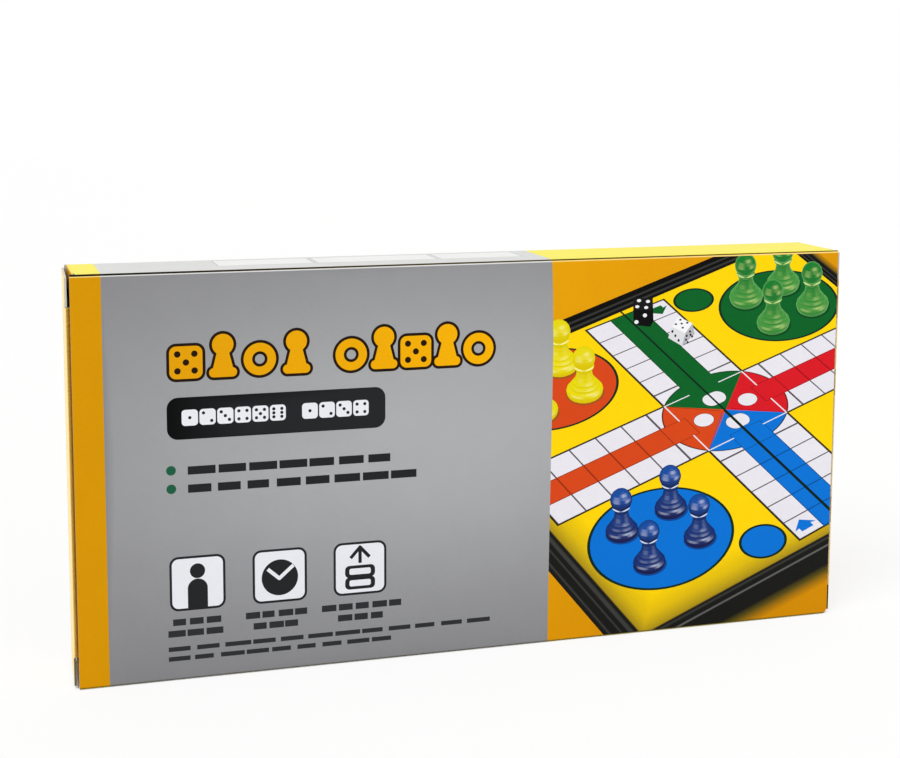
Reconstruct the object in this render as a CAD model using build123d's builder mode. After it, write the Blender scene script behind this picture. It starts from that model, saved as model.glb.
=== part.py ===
from build123d import *
import os
from math import asin, atan2, cos, degrees, pi, radians, sin

"""Retail carton of a folding magnetic ludo set, with the set packed inside it.

Millimetres and degrees. X runs along the carton, Y from its front to its back and Z up. The
origin is the middle of the face that the carton stands on. The carton is a tube of folded board,
closed at each end by an end flap with a slit-locked tongue over two dust flaps. Its sizes follow
from the folded board case that it holds.
"""

os.makedirs("parts", exist_ok=True)

# ---- driving dimensions: the folding board case -------------------------------------------
case_length = 250.0
half_width = 123.0          # one half of the opened board, across the hinge line
half_depth = 11.0
case_wall = 2.0
case_floor = 1.6
case_corner_radius = 6.0    # on the side that opens
hinge_corner_radius = 1.5
channel_corner_radius = 3.0
frame_width = 7.0           # moulded frame around the play sheet
frame_step_width = 2.2
frame_step_depth = 1.2
sheet_recess = 0.5
sheet_thickness = 0.3
sheet_gap = 0.25
sheet_corner_radius = 2.0
rib_count = 3
rib_thickness = 1.5
rib_setback = 0.2           # ribs stop short of the plane where the halves meet

# case hinges
hinge_offset = 75.0         # from the middle of the case to the middle of each hinge
knuckle_radius = 2.0
knuckle_length = 6.4
knuckle_gap = 0.2
knuckle_recess_gap = 0.25
pin_radius = 0.75
pin_running_gap = 0.05      # radial, in the middle knuckle

# case catches
catch_width = 12.0
catch_thickness = 1.3
catch_reach = 4.0           # past the meeting plane
catch_root = 5.0
catch_gap = 0.15
bead_radius = 0.5
bead_gap = 0.1
grip_width = 24.0
grip_height = 6.0
grip_depth = 1.0

# ---- driving dimensions: playing pieces ---------------------------------------------------
pawn_base_radius = 6.5
pawn_base_height = 2.4
pawn_foot_radius = 5.0      # where the body meets its base
pawn_waist_radius = 2.9
pawn_waist_height = 8.5
pawn_neck_radius = 2.1
pawn_neck_height = 14.0
pawn_head_radius = 4.2
pawn_sides = 20             # flats around the pawn, which keep the sixteen of them light
pawn_head_bands = 4
pawns_per_colour = 4
magnet_width = 7.6          # square cut from magnetic rubber sheet
magnet_thickness = 1.6
magnet_pocket_gap = 0.1     # all round
magnet_setback = 0.2
die_size = 10.0
die_edge_chamfer = 0.7
pip_radius = 0.9
pip_depth = 0.5
pip_sides = 8
pip_spacing = 2.4
die_spacing = 6.0           # between the two dice
leaflet_length = 120.0
leaflet_height = 84.0
leaflet_thickness = 0.3     # both leaves together
leaflet_fold_gap = 0.1

# ---- driving dimensions: the carton -------------------------------------------------------
board = 0.6                 # thickness of the carton board
corner_radius = 0.9         # outside of the four long creases
crease_gap = 0.2            # between a flap's rounded crease and the panel that carries it
tongue_crease_gap = 0.55
layer_gap = 0.8             # between an end flap pressed shut and the dust flaps behind it
case_end_gap = 1.5          # between the case and the dust flaps
case_back_gap = 0.35        # between the case and the glue flap
case_top_gap = 1.8
front_panel_setback = 0.5   # front panel, from the outer face of the end flap at its crease
front_corner_cut = 0.8      # at the foot of its right-hand end
glue_flap_width = 12.0
glue_flap_setback = 4.0     # from the end of the back panel
glue_flap_taper = 15.0
back_panel_setback = 0.8    # raw lower edge of the back panel, above the base
end_flap_trim = 1.0         # end flap, from the carton's top and base
end_flap_spring = 2.0       # degrees by which a closed end flap stands off the carton's end
slit_length = 8.8
slit_setback = 0.25         # end flap's shoulder, from the tongue's crease
slit_gap = 0.2              # between that shoulder and the end of the crease
tongue_length = 11.0
tongue_lean = 8.0           # how far the closed tongue leans away from the front panel
tongue_front_gap = 0.35
tongue_case_gap = 0.37
tongue_shoulder_setback = 1.2
tongue_side_trim = 0.6
tongue_corner_radius = 9.0
dust_flap_length = 18.0
dust_flap_shoulder = 8.5    # length of its straight front side, along the flap
dust_flap_front_gap = 1.7   # from the front panel's inner face to the flap's front side
dust_flap_front_taper = 1.7
dust_flap_back_gap = 0.6    # from the back panel's inner face
dust_flap_back_slope = 0.52
dust_flap_tip_radius = 2.5

# ---- the carton around the case -----------------------------------------------------------
half_board = board / 2
inner_corner_radius = max(corner_radius - board, 0.1)
tongue_rise = tongue_length * sin(radians(tongue_lean))
tongue_room = tongue_front_gap + half_board + tongue_rise + half_board * cos(radians(tongue_lean))
case_front_gap = tongue_room + tongue_case_gap

carton_length = case_length + 2 * (case_end_gap + board + layer_gap + board)
carton_depth = board + case_front_gap + 2 * half_depth + case_back_gap + 2 * board
carton_height = board + half_width + knuckle_radius + case_top_gap + board

end_x = carton_length / 2
front_y = -carton_depth / 2
back_y = carton_depth / 2
middle_z = carton_height / 2

# crease axes at the right-hand end
flap_axis_x = end_x - half_board
flap_axis_y = back_y - half_board
tongue_axis_y = front_y + board + tongue_front_gap + half_board
dust_axis_x = end_x - board - layer_gap - half_board
dust_axis_z = carton_height - half_board
end_flap_height = carton_height - 2 * end_flap_trim

# ---- the case inside the carton -----------------------------------------------------------
case_base_z = board
hinge_z = case_base_z + half_width
meeting_y = front_y + board + case_front_gap + half_depth
cavity_depth = half_depth - sheet_recess - case_floor
cavity_base_z = case_base_z + case_wall
channel_height = (half_width - 2 * case_wall - rib_count * rib_thickness) / (rib_count + 1)
channel_pitch = channel_height + rib_thickness
slot_pitch = (case_length - 2 * case_wall) / pawns_per_colour
sheet_length = case_length - 2 * frame_width
sheet_height = half_width - frame_width

pieces = {}


# ---- carton ------------------------------------------------------------------------------
with BuildPart() as carton_sleeve:
    sleeve_reach = end_x - front_panel_setback
    with BuildSketch(Plane.YZ):
        with Locations((0, middle_z)):
            RectangleRounded(carton_depth, carton_height, corner_radius)
            RectangleRounded(
                carton_depth - 2 * board, carton_height - 2 * board, inner_corner_radius, mode=Mode.SUBTRACT
            )
        # the back panel ends in a raw edge, just above the base
        with Locations((back_y - board - corner_radius, 0)):
            Rectangle(
                board + corner_radius, back_panel_setback, align=(Align.MIN, Align.MIN), mode=Mode.SUBTRACT
            )
    extrude(amount=sleeve_reach, both=True)
    # the base panel folds up into the glue flap, inside the back panel
    with BuildSketch(Plane.YZ):
        with Locations((-half_board, middle_z)):
            RectangleRounded(carton_depth - board, carton_height, corner_radius)
            RectangleRounded(
                carton_depth - 3 * board, carton_height - 2 * board, inner_corner_radius, mode=Mode.SUBTRACT
            )
        Rectangle(back_y, glue_flap_width, align=(Align.MIN, Align.MIN), mode=Mode.INTERSECT)
    extrude(amount=sleeve_reach, both=True)

    # each panel stops where its own flap is creased on
    back_reach = flap_axis_x - half_board - crease_gap
    crease_reach = dust_axis_x - half_board - crease_gap
    for side in (-1, 1):
        with BuildSketch(Plane.XY):
            with Locations((side * (back_reach + end_x) / 2, back_y)):
                Rectangle(end_x - back_reach, 4 * board)
        extrude(amount=carton_height, mode=Mode.SUBTRACT)
        for level in (0, carton_height):
            with BuildSketch(Plane.XY.offset(level)):
                with Locations((side * (crease_reach + end_x) / 2, 0)):
                    Rectangle(end_x - crease_reach, carton_depth - 2 * board)
            extrude(amount=board + inner_corner_radius, both=True, mode=Mode.SUBTRACT)
        # the glue flap's end is cut back at a slant
        glue_end_x = back_reach - glue_flap_setback
        glue_tip_x = glue_end_x - glue_flap_width * sin(radians(glue_flap_taper))
        with BuildSketch(Plane.XZ.offset(-(back_y - 2 * board))):
            with BuildLine():
                Polyline(
                    (side * glue_end_x, board),
                    (side * glue_tip_x, 2 * glue_flap_width),
                    (side * end_x, 2 * glue_flap_width),
                    (side * end_x, board),
                    close=True,
                )
            make_face()
        extrude(amount=-board, mode=Mode.SUBTRACT)

    # the front panel's right-hand corner at its foot is cut off
    with BuildSketch(Plane.XZ.offset(-front_y - board)):
        with BuildLine():
            Polyline(
                (sleeve_reach, -corner_radius),
                (sleeve_reach, corner_radius + front_corner_cut),
                (sleeve_reach - corner_radius - front_corner_cut, -corner_radius),
                close=True,
            )
        make_face()
    extrude(amount=2 * board, both=True, mode=Mode.SUBTRACT)
pieces["carton_sleeve"] = carton_sleeve.part


with BuildPart() as end_flap_right:
    with BuildSketch(Plane.YZ.offset(end_x - board)):
        free_edge = tongue_axis_y + half_board + tongue_crease_gap
        with Locations((free_edge, middle_z)):
            Rectangle(flap_axis_y - free_edge, end_flap_height, align=(Align.MIN, Align.CENTER))
        # shoulders beside the tongue, which the slits free from it
        shoulder_y = tongue_axis_y + slit_setback
        for level in (end_flap_trim, carton_height - end_flap_trim - slit_length):
            with Locations((shoulder_y, level)):
                Rectangle(free_edge - shoulder_y, slit_length, align=(Align.MIN, Align.MIN))
    extrude(amount=board)
    with BuildSketch(Plane.XY.offset(end_flap_trim)):
        with Locations((flap_axis_x, flap_axis_y)):
            Circle(half_board)
    extrude(amount=end_flap_height)


with BuildPart() as tuck_tongue_right:
    lean = radians(tongue_lean)
    tongue_plane = Plane(
        origin=(flap_axis_x, tongue_axis_y, middle_z),
        x_dir=(-cos(lean), sin(lean), 0),
        z_dir=(sin(lean), cos(lean), 0),
    )
    neck_height = end_flap_height - 2 * (slit_length + slit_gap)
    tongue_height = end_flap_height - 2 * tongue_side_trim
    with BuildSketch(tongue_plane) as tongue_outline:
        Rectangle(tongue_length, neck_height, align=(Align.MIN, Align.CENTER))
        with Locations((tongue_shoulder_setback, 0)):
            Rectangle(
                tongue_length - tongue_shoulder_setback, tongue_height, align=(Align.MIN, Align.CENTER)
            )
        tip_radius = min(tongue_corner_radius, 0.9 * (tongue_length - tongue_shoulder_setback))
        fillet(tongue_outline.vertices().group_by(Axis.X)[-1], radius=tip_radius)
    extrude(amount=half_board, both=True)
    with BuildSketch(Plane.XY.offset(middle_z - neck_height / 2)):
        with Locations((flap_axis_x, tongue_axis_y)):
            Circle(half_board)
    extrude(amount=neck_height)


with BuildPart() as dust_flap_top_right:
    dust_front_y = front_y + board + dust_flap_front_gap
    dust_back_y = back_y - board - dust_flap_back_gap
    dust_plane = Plane(origin=(dust_axis_x, 0, dust_axis_z), x_dir=(0, 0, -1), z_dir=(1, 0, 0))
    with BuildSketch(dust_plane) as dust_outline:
        with BuildLine():
            Polyline(
                (0, dust_front_y),
                (dust_flap_shoulder, dust_front_y),
                (dust_flap_length, dust_front_y + dust_flap_front_taper),
                (dust_flap_length, dust_back_y - dust_flap_back_slope * dust_flap_length),
                (0, dust_back_y),
                close=True,
            )
        make_face()
        fillet(dust_outline.vertices().group_by(Axis.X)[-1], radius=dust_flap_tip_radius)
    extrude(amount=half_board, both=True)
    with BuildSketch(Plane.XZ.offset(-dust_front_y)):
        with Locations((dust_axis_x, dust_axis_z)):
            Circle(half_board)
    extrude(amount=-(dust_back_y - dust_front_y))


with BuildPart() as dust_flap_bottom_right:
    mirror(dust_flap_top_right.part, about=Plane.XY.offset(middle_z))


right_hand_pieces = {
    "end_flap": end_flap_right,
    "tuck_tongue": tuck_tongue_right,
    "dust_flap_top": dust_flap_top_right,
    "dust_flap_bottom": dust_flap_bottom_right,
}
# a closed end flap springs out about its crease, and takes its tongue along
end_crease = Axis((flap_axis_x, flap_axis_y, 0), (0, 0, 1))
for name, right_piece in right_hand_pieces.items():
    spring = end_flap_spring if name in ("end_flap", "tuck_tongue") else 0
    right_part = right_piece.part.rotate(end_crease, spring)
    with BuildPart() as left_piece:
        mirror(right_part, about=Plane.YZ)
    pieces[name + "_right"] = right_part
    pieces[name + "_left"] = left_piece.part


# ---- folding board case ------------------------------------------------------------------
def hinge_cylinders(radius, length, places):
    """Cylinders along the case's hinge axis, at the given places along X."""
    with BuildPart() as cylinders:
        for place in places:
            with BuildSketch(Plane.YZ.offset(place - length / 2)):
                with Locations((meeting_y, hinge_z)):
                    Circle(radius)
            extrude(amount=length)
    return cylinders.part


knuckle_pitch = knuckle_length + knuckle_gap
hinge_middles = [-hinge_offset, hinge_offset]
outer_knuckles = [middle + side * knuckle_pitch for middle in hinge_middles for side in (-1, 1)]


def case_half(own_knuckles, other_knuckles, bore_radius):
    """The front half of the case: a ribbed tray, open at the plane where the halves meet."""
    with BuildPart() as half:
        with BuildSketch(Plane.XZ.offset(-meeting_y)) as outline:
            with Locations((0, case_base_z)):
                Rectangle(case_length, half_width, align=(Align.CENTER, Align.MIN))
            fillet(outline.vertices().group_by(Axis.Y)[0], radius=case_corner_radius)
            fillet(outline.vertices().group_by(Axis.Y)[-1], radius=hinge_corner_radius)
        extrude(amount=half_depth)

        # stepped frame around three sides of the play surface
        with BuildSketch(Plane.XZ.offset(-meeting_y + half_depth)):
            with Locations((0, case_base_z)):
                Rectangle(case_length, half_width, align=(Align.CENTER, Align.MIN))
            with Locations((0, case_base_z + frame_step_width)):
                Rectangle(
                    case_length - 2 * frame_step_width,
                    half_width,
                    align=(Align.CENTER, Align.MIN),
                    mode=Mode.SUBTRACT,
                )
        extrude(amount=-frame_step_depth, mode=Mode.SUBTRACT)

        # recess for the play sheet, open at the hinge side
        with BuildSketch(Plane.XZ.offset(-meeting_y + half_depth)):
            with Locations((0, case_base_z + frame_width)):
                Rectangle(sheet_length, half_width, align=(Align.CENTER, Align.MIN))
        extrude(amount=-sheet_recess, mode=Mode.SUBTRACT)

        # hollow, with ribs that part it into long channels
        with BuildSketch(Plane.XZ.offset(-meeting_y)) as hollow:
            with Locations((0, cavity_base_z)):
                Rectangle(
                    case_length - 2 * case_wall, half_width - 2 * case_wall, align=(Align.CENTER, Align.MIN)
                )
            fillet(hollow.vertices(), radius=channel_corner_radius)
        extrude(amount=cavity_depth, mode=Mode.SUBTRACT)
        with BuildSketch(Plane.XZ.offset(-meeting_y + cavity_depth)):
            for rib in range(rib_count):
                rib_z = cavity_base_z + channel_height + rib * channel_pitch
                with Locations((0, rib_z)):
                    Rectangle(case_length - case_wall, rib_thickness, align=(Align.CENTER, Align.MIN))
        extrude(amount=rib_setback - cavity_depth)

        # half of a shallow finger grip, across the meeting plane
        with BuildSketch(Plane.XY.offset(case_base_z)):
            with Locations((0, meeting_y)):
                Ellipse(grip_width / 2, grip_height / 2)
        extrude(amount=grip_depth, mode=Mode.SUBTRACT)

        # hinge: own knuckles, and room for the other half's
        recess_radius = knuckle_radius + knuckle_recess_gap
        recess_length = knuckle_length + 2 * knuckle_gap
        add(hinge_cylinders(recess_radius, recess_length, other_knuckles), mode=Mode.SUBTRACT)
        add(hinge_cylinders(knuckle_radius, knuckle_length, own_knuckles))
        add(hinge_cylinders(bore_radius, knuckle_length, own_knuckles), mode=Mode.SUBTRACT)
    return half.part


catch_low_z = cavity_base_z + catch_gap
bead_y = meeting_y + catch_reach - 2 * bead_radius
catch_middles = [-slot_pitch, slot_pitch]   # between the pawns of the lowest channel

with BuildPart() as case_half_front:
    add(case_half(outer_knuckles, hinge_middles, pin_radius))
    # spring catches that reach inside the other half's wall
    for place in catch_middles:
        with BuildSketch(Plane.YZ.offset(place - catch_width / 2)):
            with Locations((meeting_y, catch_low_z)):
                Rectangle(catch_reach, catch_thickness, align=(Align.MIN, Align.MIN))
            with Locations((meeting_y - catch_root, cavity_base_z)):
                Rectangle(catch_root, catch_thickness + catch_gap, align=(Align.MIN, Align.MIN))
            with Locations((bead_y, catch_low_z)):
                Circle(bead_radius)
        extrude(amount=catch_width)
pieces["case_half_front"] = case_half_front.part

with BuildPart() as case_half_back:
    add(mirror(case_half(hinge_middles, outer_knuckles, pin_radius + pin_running_gap),
               about=Plane.XZ.offset(-meeting_y), mode=Mode.PRIVATE))
    # grooves that the catches' beads snap into
    for place in catch_middles:
        with BuildSketch(Plane.YZ.offset(place - catch_width / 2 - catch_gap)):
            with Locations((bead_y, catch_low_z)):
                Circle(bead_radius + bead_gap)
        extrude(amount=catch_width + 2 * catch_gap, mode=Mode.SUBTRACT)
pieces["case_half_back"] = case_half_back.part

with BuildPart() as play_sheet_front:
    recess_floor = Plane.XZ.offset(-meeting_y + half_depth - sheet_recess)
    with BuildSketch(recess_floor) as sheet_outline:
        with Locations((0, case_base_z + frame_width + sheet_gap)):
            Rectangle(
                sheet_length - 2 * sheet_gap,
                sheet_height - sheet_gap - hinge_corner_radius,
                align=(Align.CENTER, Align.MIN),
            )
        fillet(sheet_outline.vertices().group_by(Axis.Y)[0], radius=sheet_corner_radius)
    extrude(amount=sheet_thickness)
pieces["play_sheet_front"] = play_sheet_front.part

with BuildPart() as play_sheet_back:
    mirror(play_sheet_front.part, about=Plane.XZ.offset(-meeting_y))
pieces["play_sheet_back"] = play_sheet_back.part

pin_length = 3 * knuckle_length + 2 * knuckle_gap
for side_name, place in zip(("left", "right"), hinge_middles):
    pieces["hinge_pin_" + side_name] = hinge_cylinders(pin_radius, pin_length, [place])


# ---- playing pieces ----------------------------------------------------------------------
neck_angle = asin(pawn_neck_radius / pawn_head_radius)
pawn_head_centre = pawn_neck_height + pawn_head_radius * cos(neck_angle)
pawn_height = pawn_head_centre + pawn_head_radius

with BuildPart() as pawn:
    body_stations = [
        (0, pawn_base_radius),
        (pawn_base_height, pawn_base_radius),
        (pawn_base_height, pawn_foot_radius),
        (pawn_waist_height, pawn_waist_radius),
        (pawn_neck_height, pawn_neck_radius),
    ]
    # the ball is ringed at even steps up to its widest, and from there to its crown
    crown_angle = pi / (2 * pawn_head_bands)
    head_angles = [pi / 2 * (1 - band / (pawn_head_bands - 1)) for band in range(pawn_head_bands)]
    head_angles[-1] = crown_angle
    head_stations = [
        (pawn_head_centre + pawn_head_radius * cos(angle), pawn_head_radius * sin(angle))
        for angle in head_angles
    ]
    rings = [
        [
            (radius * cos(2 * pi * side / pawn_sides), radius * sin(2 * pi * side / pawn_sides), height)
            for side in range(pawn_sides)
        ]
        for height, radius in body_stations + head_stations
    ]
    # flats between neighbouring rings, closed by the base and the crown
    flats = [
        (low[side - 1], low[side], high[side], high[side - 1])
        for low, high in zip(rings, rings[1:])
        for side in range(pawn_sides)
    ]
    add(Solid(Shell([Face(Wire.make_polygon(corners)) for corners in [*flats, rings[0], rings[-1]]])).clean())
    with BuildSketch():
        Rectangle(magnet_width + 2 * magnet_pocket_gap, magnet_width + 2 * magnet_pocket_gap)
    extrude(amount=magnet_thickness + magnet_setback, mode=Mode.SUBTRACT)

with BuildPart() as pawn_magnet:
    with BuildSketch(Plane.XY.offset(magnet_setback)):
        Rectangle(magnet_width, magnet_width)
    extrude(amount=magnet_thickness)

# a pawn lies on the rim of its base and on its head, so its axis dips towards the head
dip = atan2(pawn_base_radius - pawn_head_radius, pawn_head_centre - pawn_base_height)
pawn_origin_height = pawn_base_radius * cos(dip) + pawn_base_height * sin(dip)
pawn_turn = 90 + degrees(dip)

# every channel holds a row of mixed colours, with the bases towards the ends of the case; the
# pawns lie a little behind the meeting plane, on the ribs of the back half
colours = ("red", "green", "blue", "yellow")
pawn_y = meeting_y + (cavity_depth - pawn_base_radius) / 2
pawn_places = {colour: [] for colour in colours}
for channel in range(rib_count + 1):
    channel_z = cavity_base_z + channel * channel_pitch
    for slot in range(pawns_per_colour):
        colour = colours[(channel + slot) % len(colours)]
        slot_x = (slot - (pawns_per_colour - 1) / 2) * slot_pitch
        outward = -1 if slot_x < 0 else 1
        place = (slot_x + outward * pawn_height / 2, pawn_y, channel_z + pawn_origin_height)
        pawn_places[colour].append(Location(place, (0, -outward * pawn_turn, 0)))

for colour in colours:
    with BuildPart() as pawn_set:
        with Locations(*pawn_places[colour]):
            add(pawn.part)
    pieces["pawns_" + colour] = pawn_set.part

with BuildPart() as pawn_magnets:
    with Locations(*[place for places in pawn_places.values() for place in places]):
        add(pawn_magnet.part)
pieces["pawn_magnets"] = pawn_magnets.part

# pip places on a face, as steps from its middle
pip_patterns = {
    1: [(0, 0)],
    2: [(-1, -1), (1, 1)],
    3: [(-1, -1), (0, 0), (1, 1)],
    4: [(-1, -1), (-1, 1), (1, -1), (1, 1)],
    5: [(-1, -1), (-1, 1), (0, 0), (1, -1), (1, 1)],
    6: [(-1, -1), (-1, 0), (-1, 1), (1, -1), (1, 0), (1, 1)],
}
# opposite faces add up to seven
die_faces = {
    1: Plane.XY,
    6: Plane.YX,
    2: Plane.YZ,
    5: Plane.ZY,
    3: Plane.ZX,
    4: Plane.XZ,
}
with BuildPart() as die:
    Box(die_size, die_size, die_size)
    chamfer(die.edges(), length=die_edge_chamfer)
    for number, face_plane in die_faces.items():
        with BuildSketch(face_plane.offset(die_size / 2)):
            with Locations(*[(pip_spacing * across, pip_spacing * up) for across, up in pip_patterns[number]]):
                RegularPolygon(pip_radius, pip_sides)
        extrude(amount=-pip_depth, mode=Mode.SUBTRACT)

for side, die_name, turn in ((-1, "die_white", 0), (1, "die_black", 90)):
    die_x = side * (die_size + die_spacing) / 2
    with BuildPart() as placed_die:
        with Locations(Location((die_x, meeting_y, cavity_base_z + die_size / 2), (turn, 0, turn))):
            add(die.part)
    pieces[die_name] = placed_die.part

# folded rules leaflet, standing between the case and the front panel
with BuildPart() as instruction_leaflet:
    leaf = (leaflet_thickness - leaflet_fold_gap) / 2
    leaflet_back_y = meeting_y - half_depth
    with BuildSketch(Plane.XY.offset(case_base_z)):
        with Locations((0, leaflet_back_y)):
            Rectangle(leaflet_length, leaflet_thickness, align=(Align.CENTER, Align.MAX))
        with Locations((leaflet_length / 2, leaflet_back_y - leaf)):
            Rectangle(
                leaflet_length - leaf, leaflet_fold_gap, align=(Align.MAX, Align.MAX), mode=Mode.SUBTRACT
            )
    extrude(amount=leaflet_height)
pieces["instruction_leaflet"] = instruction_leaflet.part


for name, piece in pieces.items():
    piece.label = name
    export_step(piece, f"parts/{name}.step")
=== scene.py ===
"""Dresses the carton of a folding magnetic ludo set: its prints, creases, contents and a plain studio.

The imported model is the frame: X along the carton, Y from its front to its back, Z up, in metres. The
tables below are in millimetres, which MM turns to metres.
"""

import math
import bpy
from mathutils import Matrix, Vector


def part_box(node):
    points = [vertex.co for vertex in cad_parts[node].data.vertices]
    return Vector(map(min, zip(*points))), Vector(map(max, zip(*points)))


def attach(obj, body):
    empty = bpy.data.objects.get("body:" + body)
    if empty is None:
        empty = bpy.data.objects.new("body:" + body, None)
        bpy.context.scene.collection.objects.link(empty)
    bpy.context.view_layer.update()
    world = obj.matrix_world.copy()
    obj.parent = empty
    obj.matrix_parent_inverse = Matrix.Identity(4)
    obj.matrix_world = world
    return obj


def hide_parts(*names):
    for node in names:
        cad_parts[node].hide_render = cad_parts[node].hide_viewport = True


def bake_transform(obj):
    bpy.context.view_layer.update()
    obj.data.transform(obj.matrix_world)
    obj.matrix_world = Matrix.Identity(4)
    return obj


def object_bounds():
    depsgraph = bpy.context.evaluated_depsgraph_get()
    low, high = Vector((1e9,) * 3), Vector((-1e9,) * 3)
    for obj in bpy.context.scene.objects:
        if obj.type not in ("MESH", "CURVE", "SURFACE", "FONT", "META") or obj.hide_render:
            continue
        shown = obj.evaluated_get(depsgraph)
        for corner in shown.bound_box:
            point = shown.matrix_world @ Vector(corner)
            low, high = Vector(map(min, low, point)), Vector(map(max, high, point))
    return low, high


bl_info = {
    "name": "Ludo Set Carton",
    "version": (1, 0, 0),
    "blender": (4, 5, 0),
    "location": "3D View > Sidebar > Carton",
    "description": "Prints, creases, contents and studio of a folding ludo set's carton",
    "category": "Object",
}

from types import SimpleNamespace

import bpy
import numpy as np
from bpy.props import FloatProperty, FloatVectorProperty, PointerProperty
from mathutils import Matrix, Vector
from mathutils.geometry import delaunay_2d_cdt

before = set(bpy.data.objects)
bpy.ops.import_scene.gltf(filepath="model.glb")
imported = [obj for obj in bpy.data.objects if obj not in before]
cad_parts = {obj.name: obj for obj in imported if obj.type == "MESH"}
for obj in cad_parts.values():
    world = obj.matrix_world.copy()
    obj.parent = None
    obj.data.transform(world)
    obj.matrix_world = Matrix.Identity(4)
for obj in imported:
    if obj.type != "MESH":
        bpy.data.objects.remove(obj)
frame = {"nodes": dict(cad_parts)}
cad_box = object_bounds()

MM = 0.001
SIDES = {"left": -1, "right": 1}

# ---- the carton's outside, as its solids have it -------------------------------------------
HEIGHT = cad_box[1].z / MM
BACK_Y = cad_box[1].y / MM
FRONT_Y = -BACK_Y
BOARD = 0.6
FOLD_RADIUS = 0.9
END_X = 128.5  # outer face of the end flaps at their creases
FRONT_REACH = END_X - 0.5
BACK_REACH = END_X - 0.8
CAP_REACH = END_X - 2.2  # top and base panels
FOOT_CUT = (1.7, 2.6)  # width and height of the front panel's cut corner, at the foot of the right-hand end
FOOT_CUT_Z = FOLD_RADIUS + 0.8
RAW_EDGE_Z = 0.8  # of the back panel
INK = 0.03  # height of a print over the board
FLAP_AXIS_X = END_X - BOARD / 2
FLAP_AXIS_Y = BACK_Y - BOARD / 2
TONGUE_AXIS_Y = FRONT_Y + BOARD + 0.35 + BOARD / 2
SPRING = math.radians(2)  # by which the board's spring holds the end flaps open
FLAP_EDGE_Y = TONGUE_AXIS_Y + BOARD / 2 + 0.55
SHOULDER_Y = TONGUE_AXIS_Y + 0.25
FLAP_TRIM = 1.0
SLIT = 8.8
NECK_TRIM = FLAP_TRIM + SLIT + 0.2
TONGUE_LEAN = math.radians(8)
TONGUE_LENGTH, TONGUE_SHOULDER, TONGUE_TRIM, TONGUE_CORNER = 11.0, 1.2, FLAP_TRIM + 0.6, 9.0
DUST_AXIS_X = END_X - 1.7
DUST_REACH_Y = (FRONT_Y + 2.3, BACK_Y - 1.2)
# the dust flaps' outlines from just past their creases, as reach out and reach in from either end
DUST_FRONT = [(0.32, 0.0), (8.5, 0.0), (16.0, 1.4), (18.0, 3.6)]
DUST_BACK = [(18.0, 10.36), (17.0, 8.76), (0.32, 0.17)]
# height of the dust flaps' creases, and which way is out
LEVELS = {"top": (HEIGHT - BOARD / 2, 1), "bottom": (BOARD / 2, -1)}


def sprung(x, y):
    """A place on the right-hand end flap, turned out about its crease by the board's spring."""
    spot = Matrix.Rotation(SPRING, 2) @ Vector((x - FLAP_AXIS_X, y - FLAP_AXIS_Y))
    return FLAP_AXIS_X + spot.x, FLAP_AXIS_Y + spot.y


def plain(settings):
    """Settings as plain values, with each colour as a tuple."""
    values = {key: getattr(settings, key) for key in type(settings).__annotations__}
    return SimpleNamespace(**{key: v if isinstance(v, float) else tuple(v) for key, v in values.items()})


def linear(hex_colour):
    """An sRGB colour, such as #E0A000, as linear red, green and blue."""
    channels = [int(hex_colour[i : i + 2], 16) / 255 for i in (1, 3, 5)]
    return tuple(c / 12.92 if c <= 0.04045 else ((c + 0.055) / 1.055) ** 2.4 for c in channels)


def ink(name, hex_colour, description):
    """A colour property with an sRGB default."""
    return FloatVectorProperty(
        name=name, description=description, subtype="COLOR", size=3, min=0, max=1, default=linear(hex_colour)
    )


def length(name, millimetres, description, min=0):
    """A length property, kept in metres."""
    kind = {"subtype": "DISTANCE", "unit": "LENGTH", "min": min}
    return FloatProperty(name=name, description=description, default=millimetres * MM, **kind)


def angle(name, degrees, description):
    """An angle property."""
    return FloatProperty(name=name, description=description, subtype="ANGLE", default=math.radians(degrees))


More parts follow.
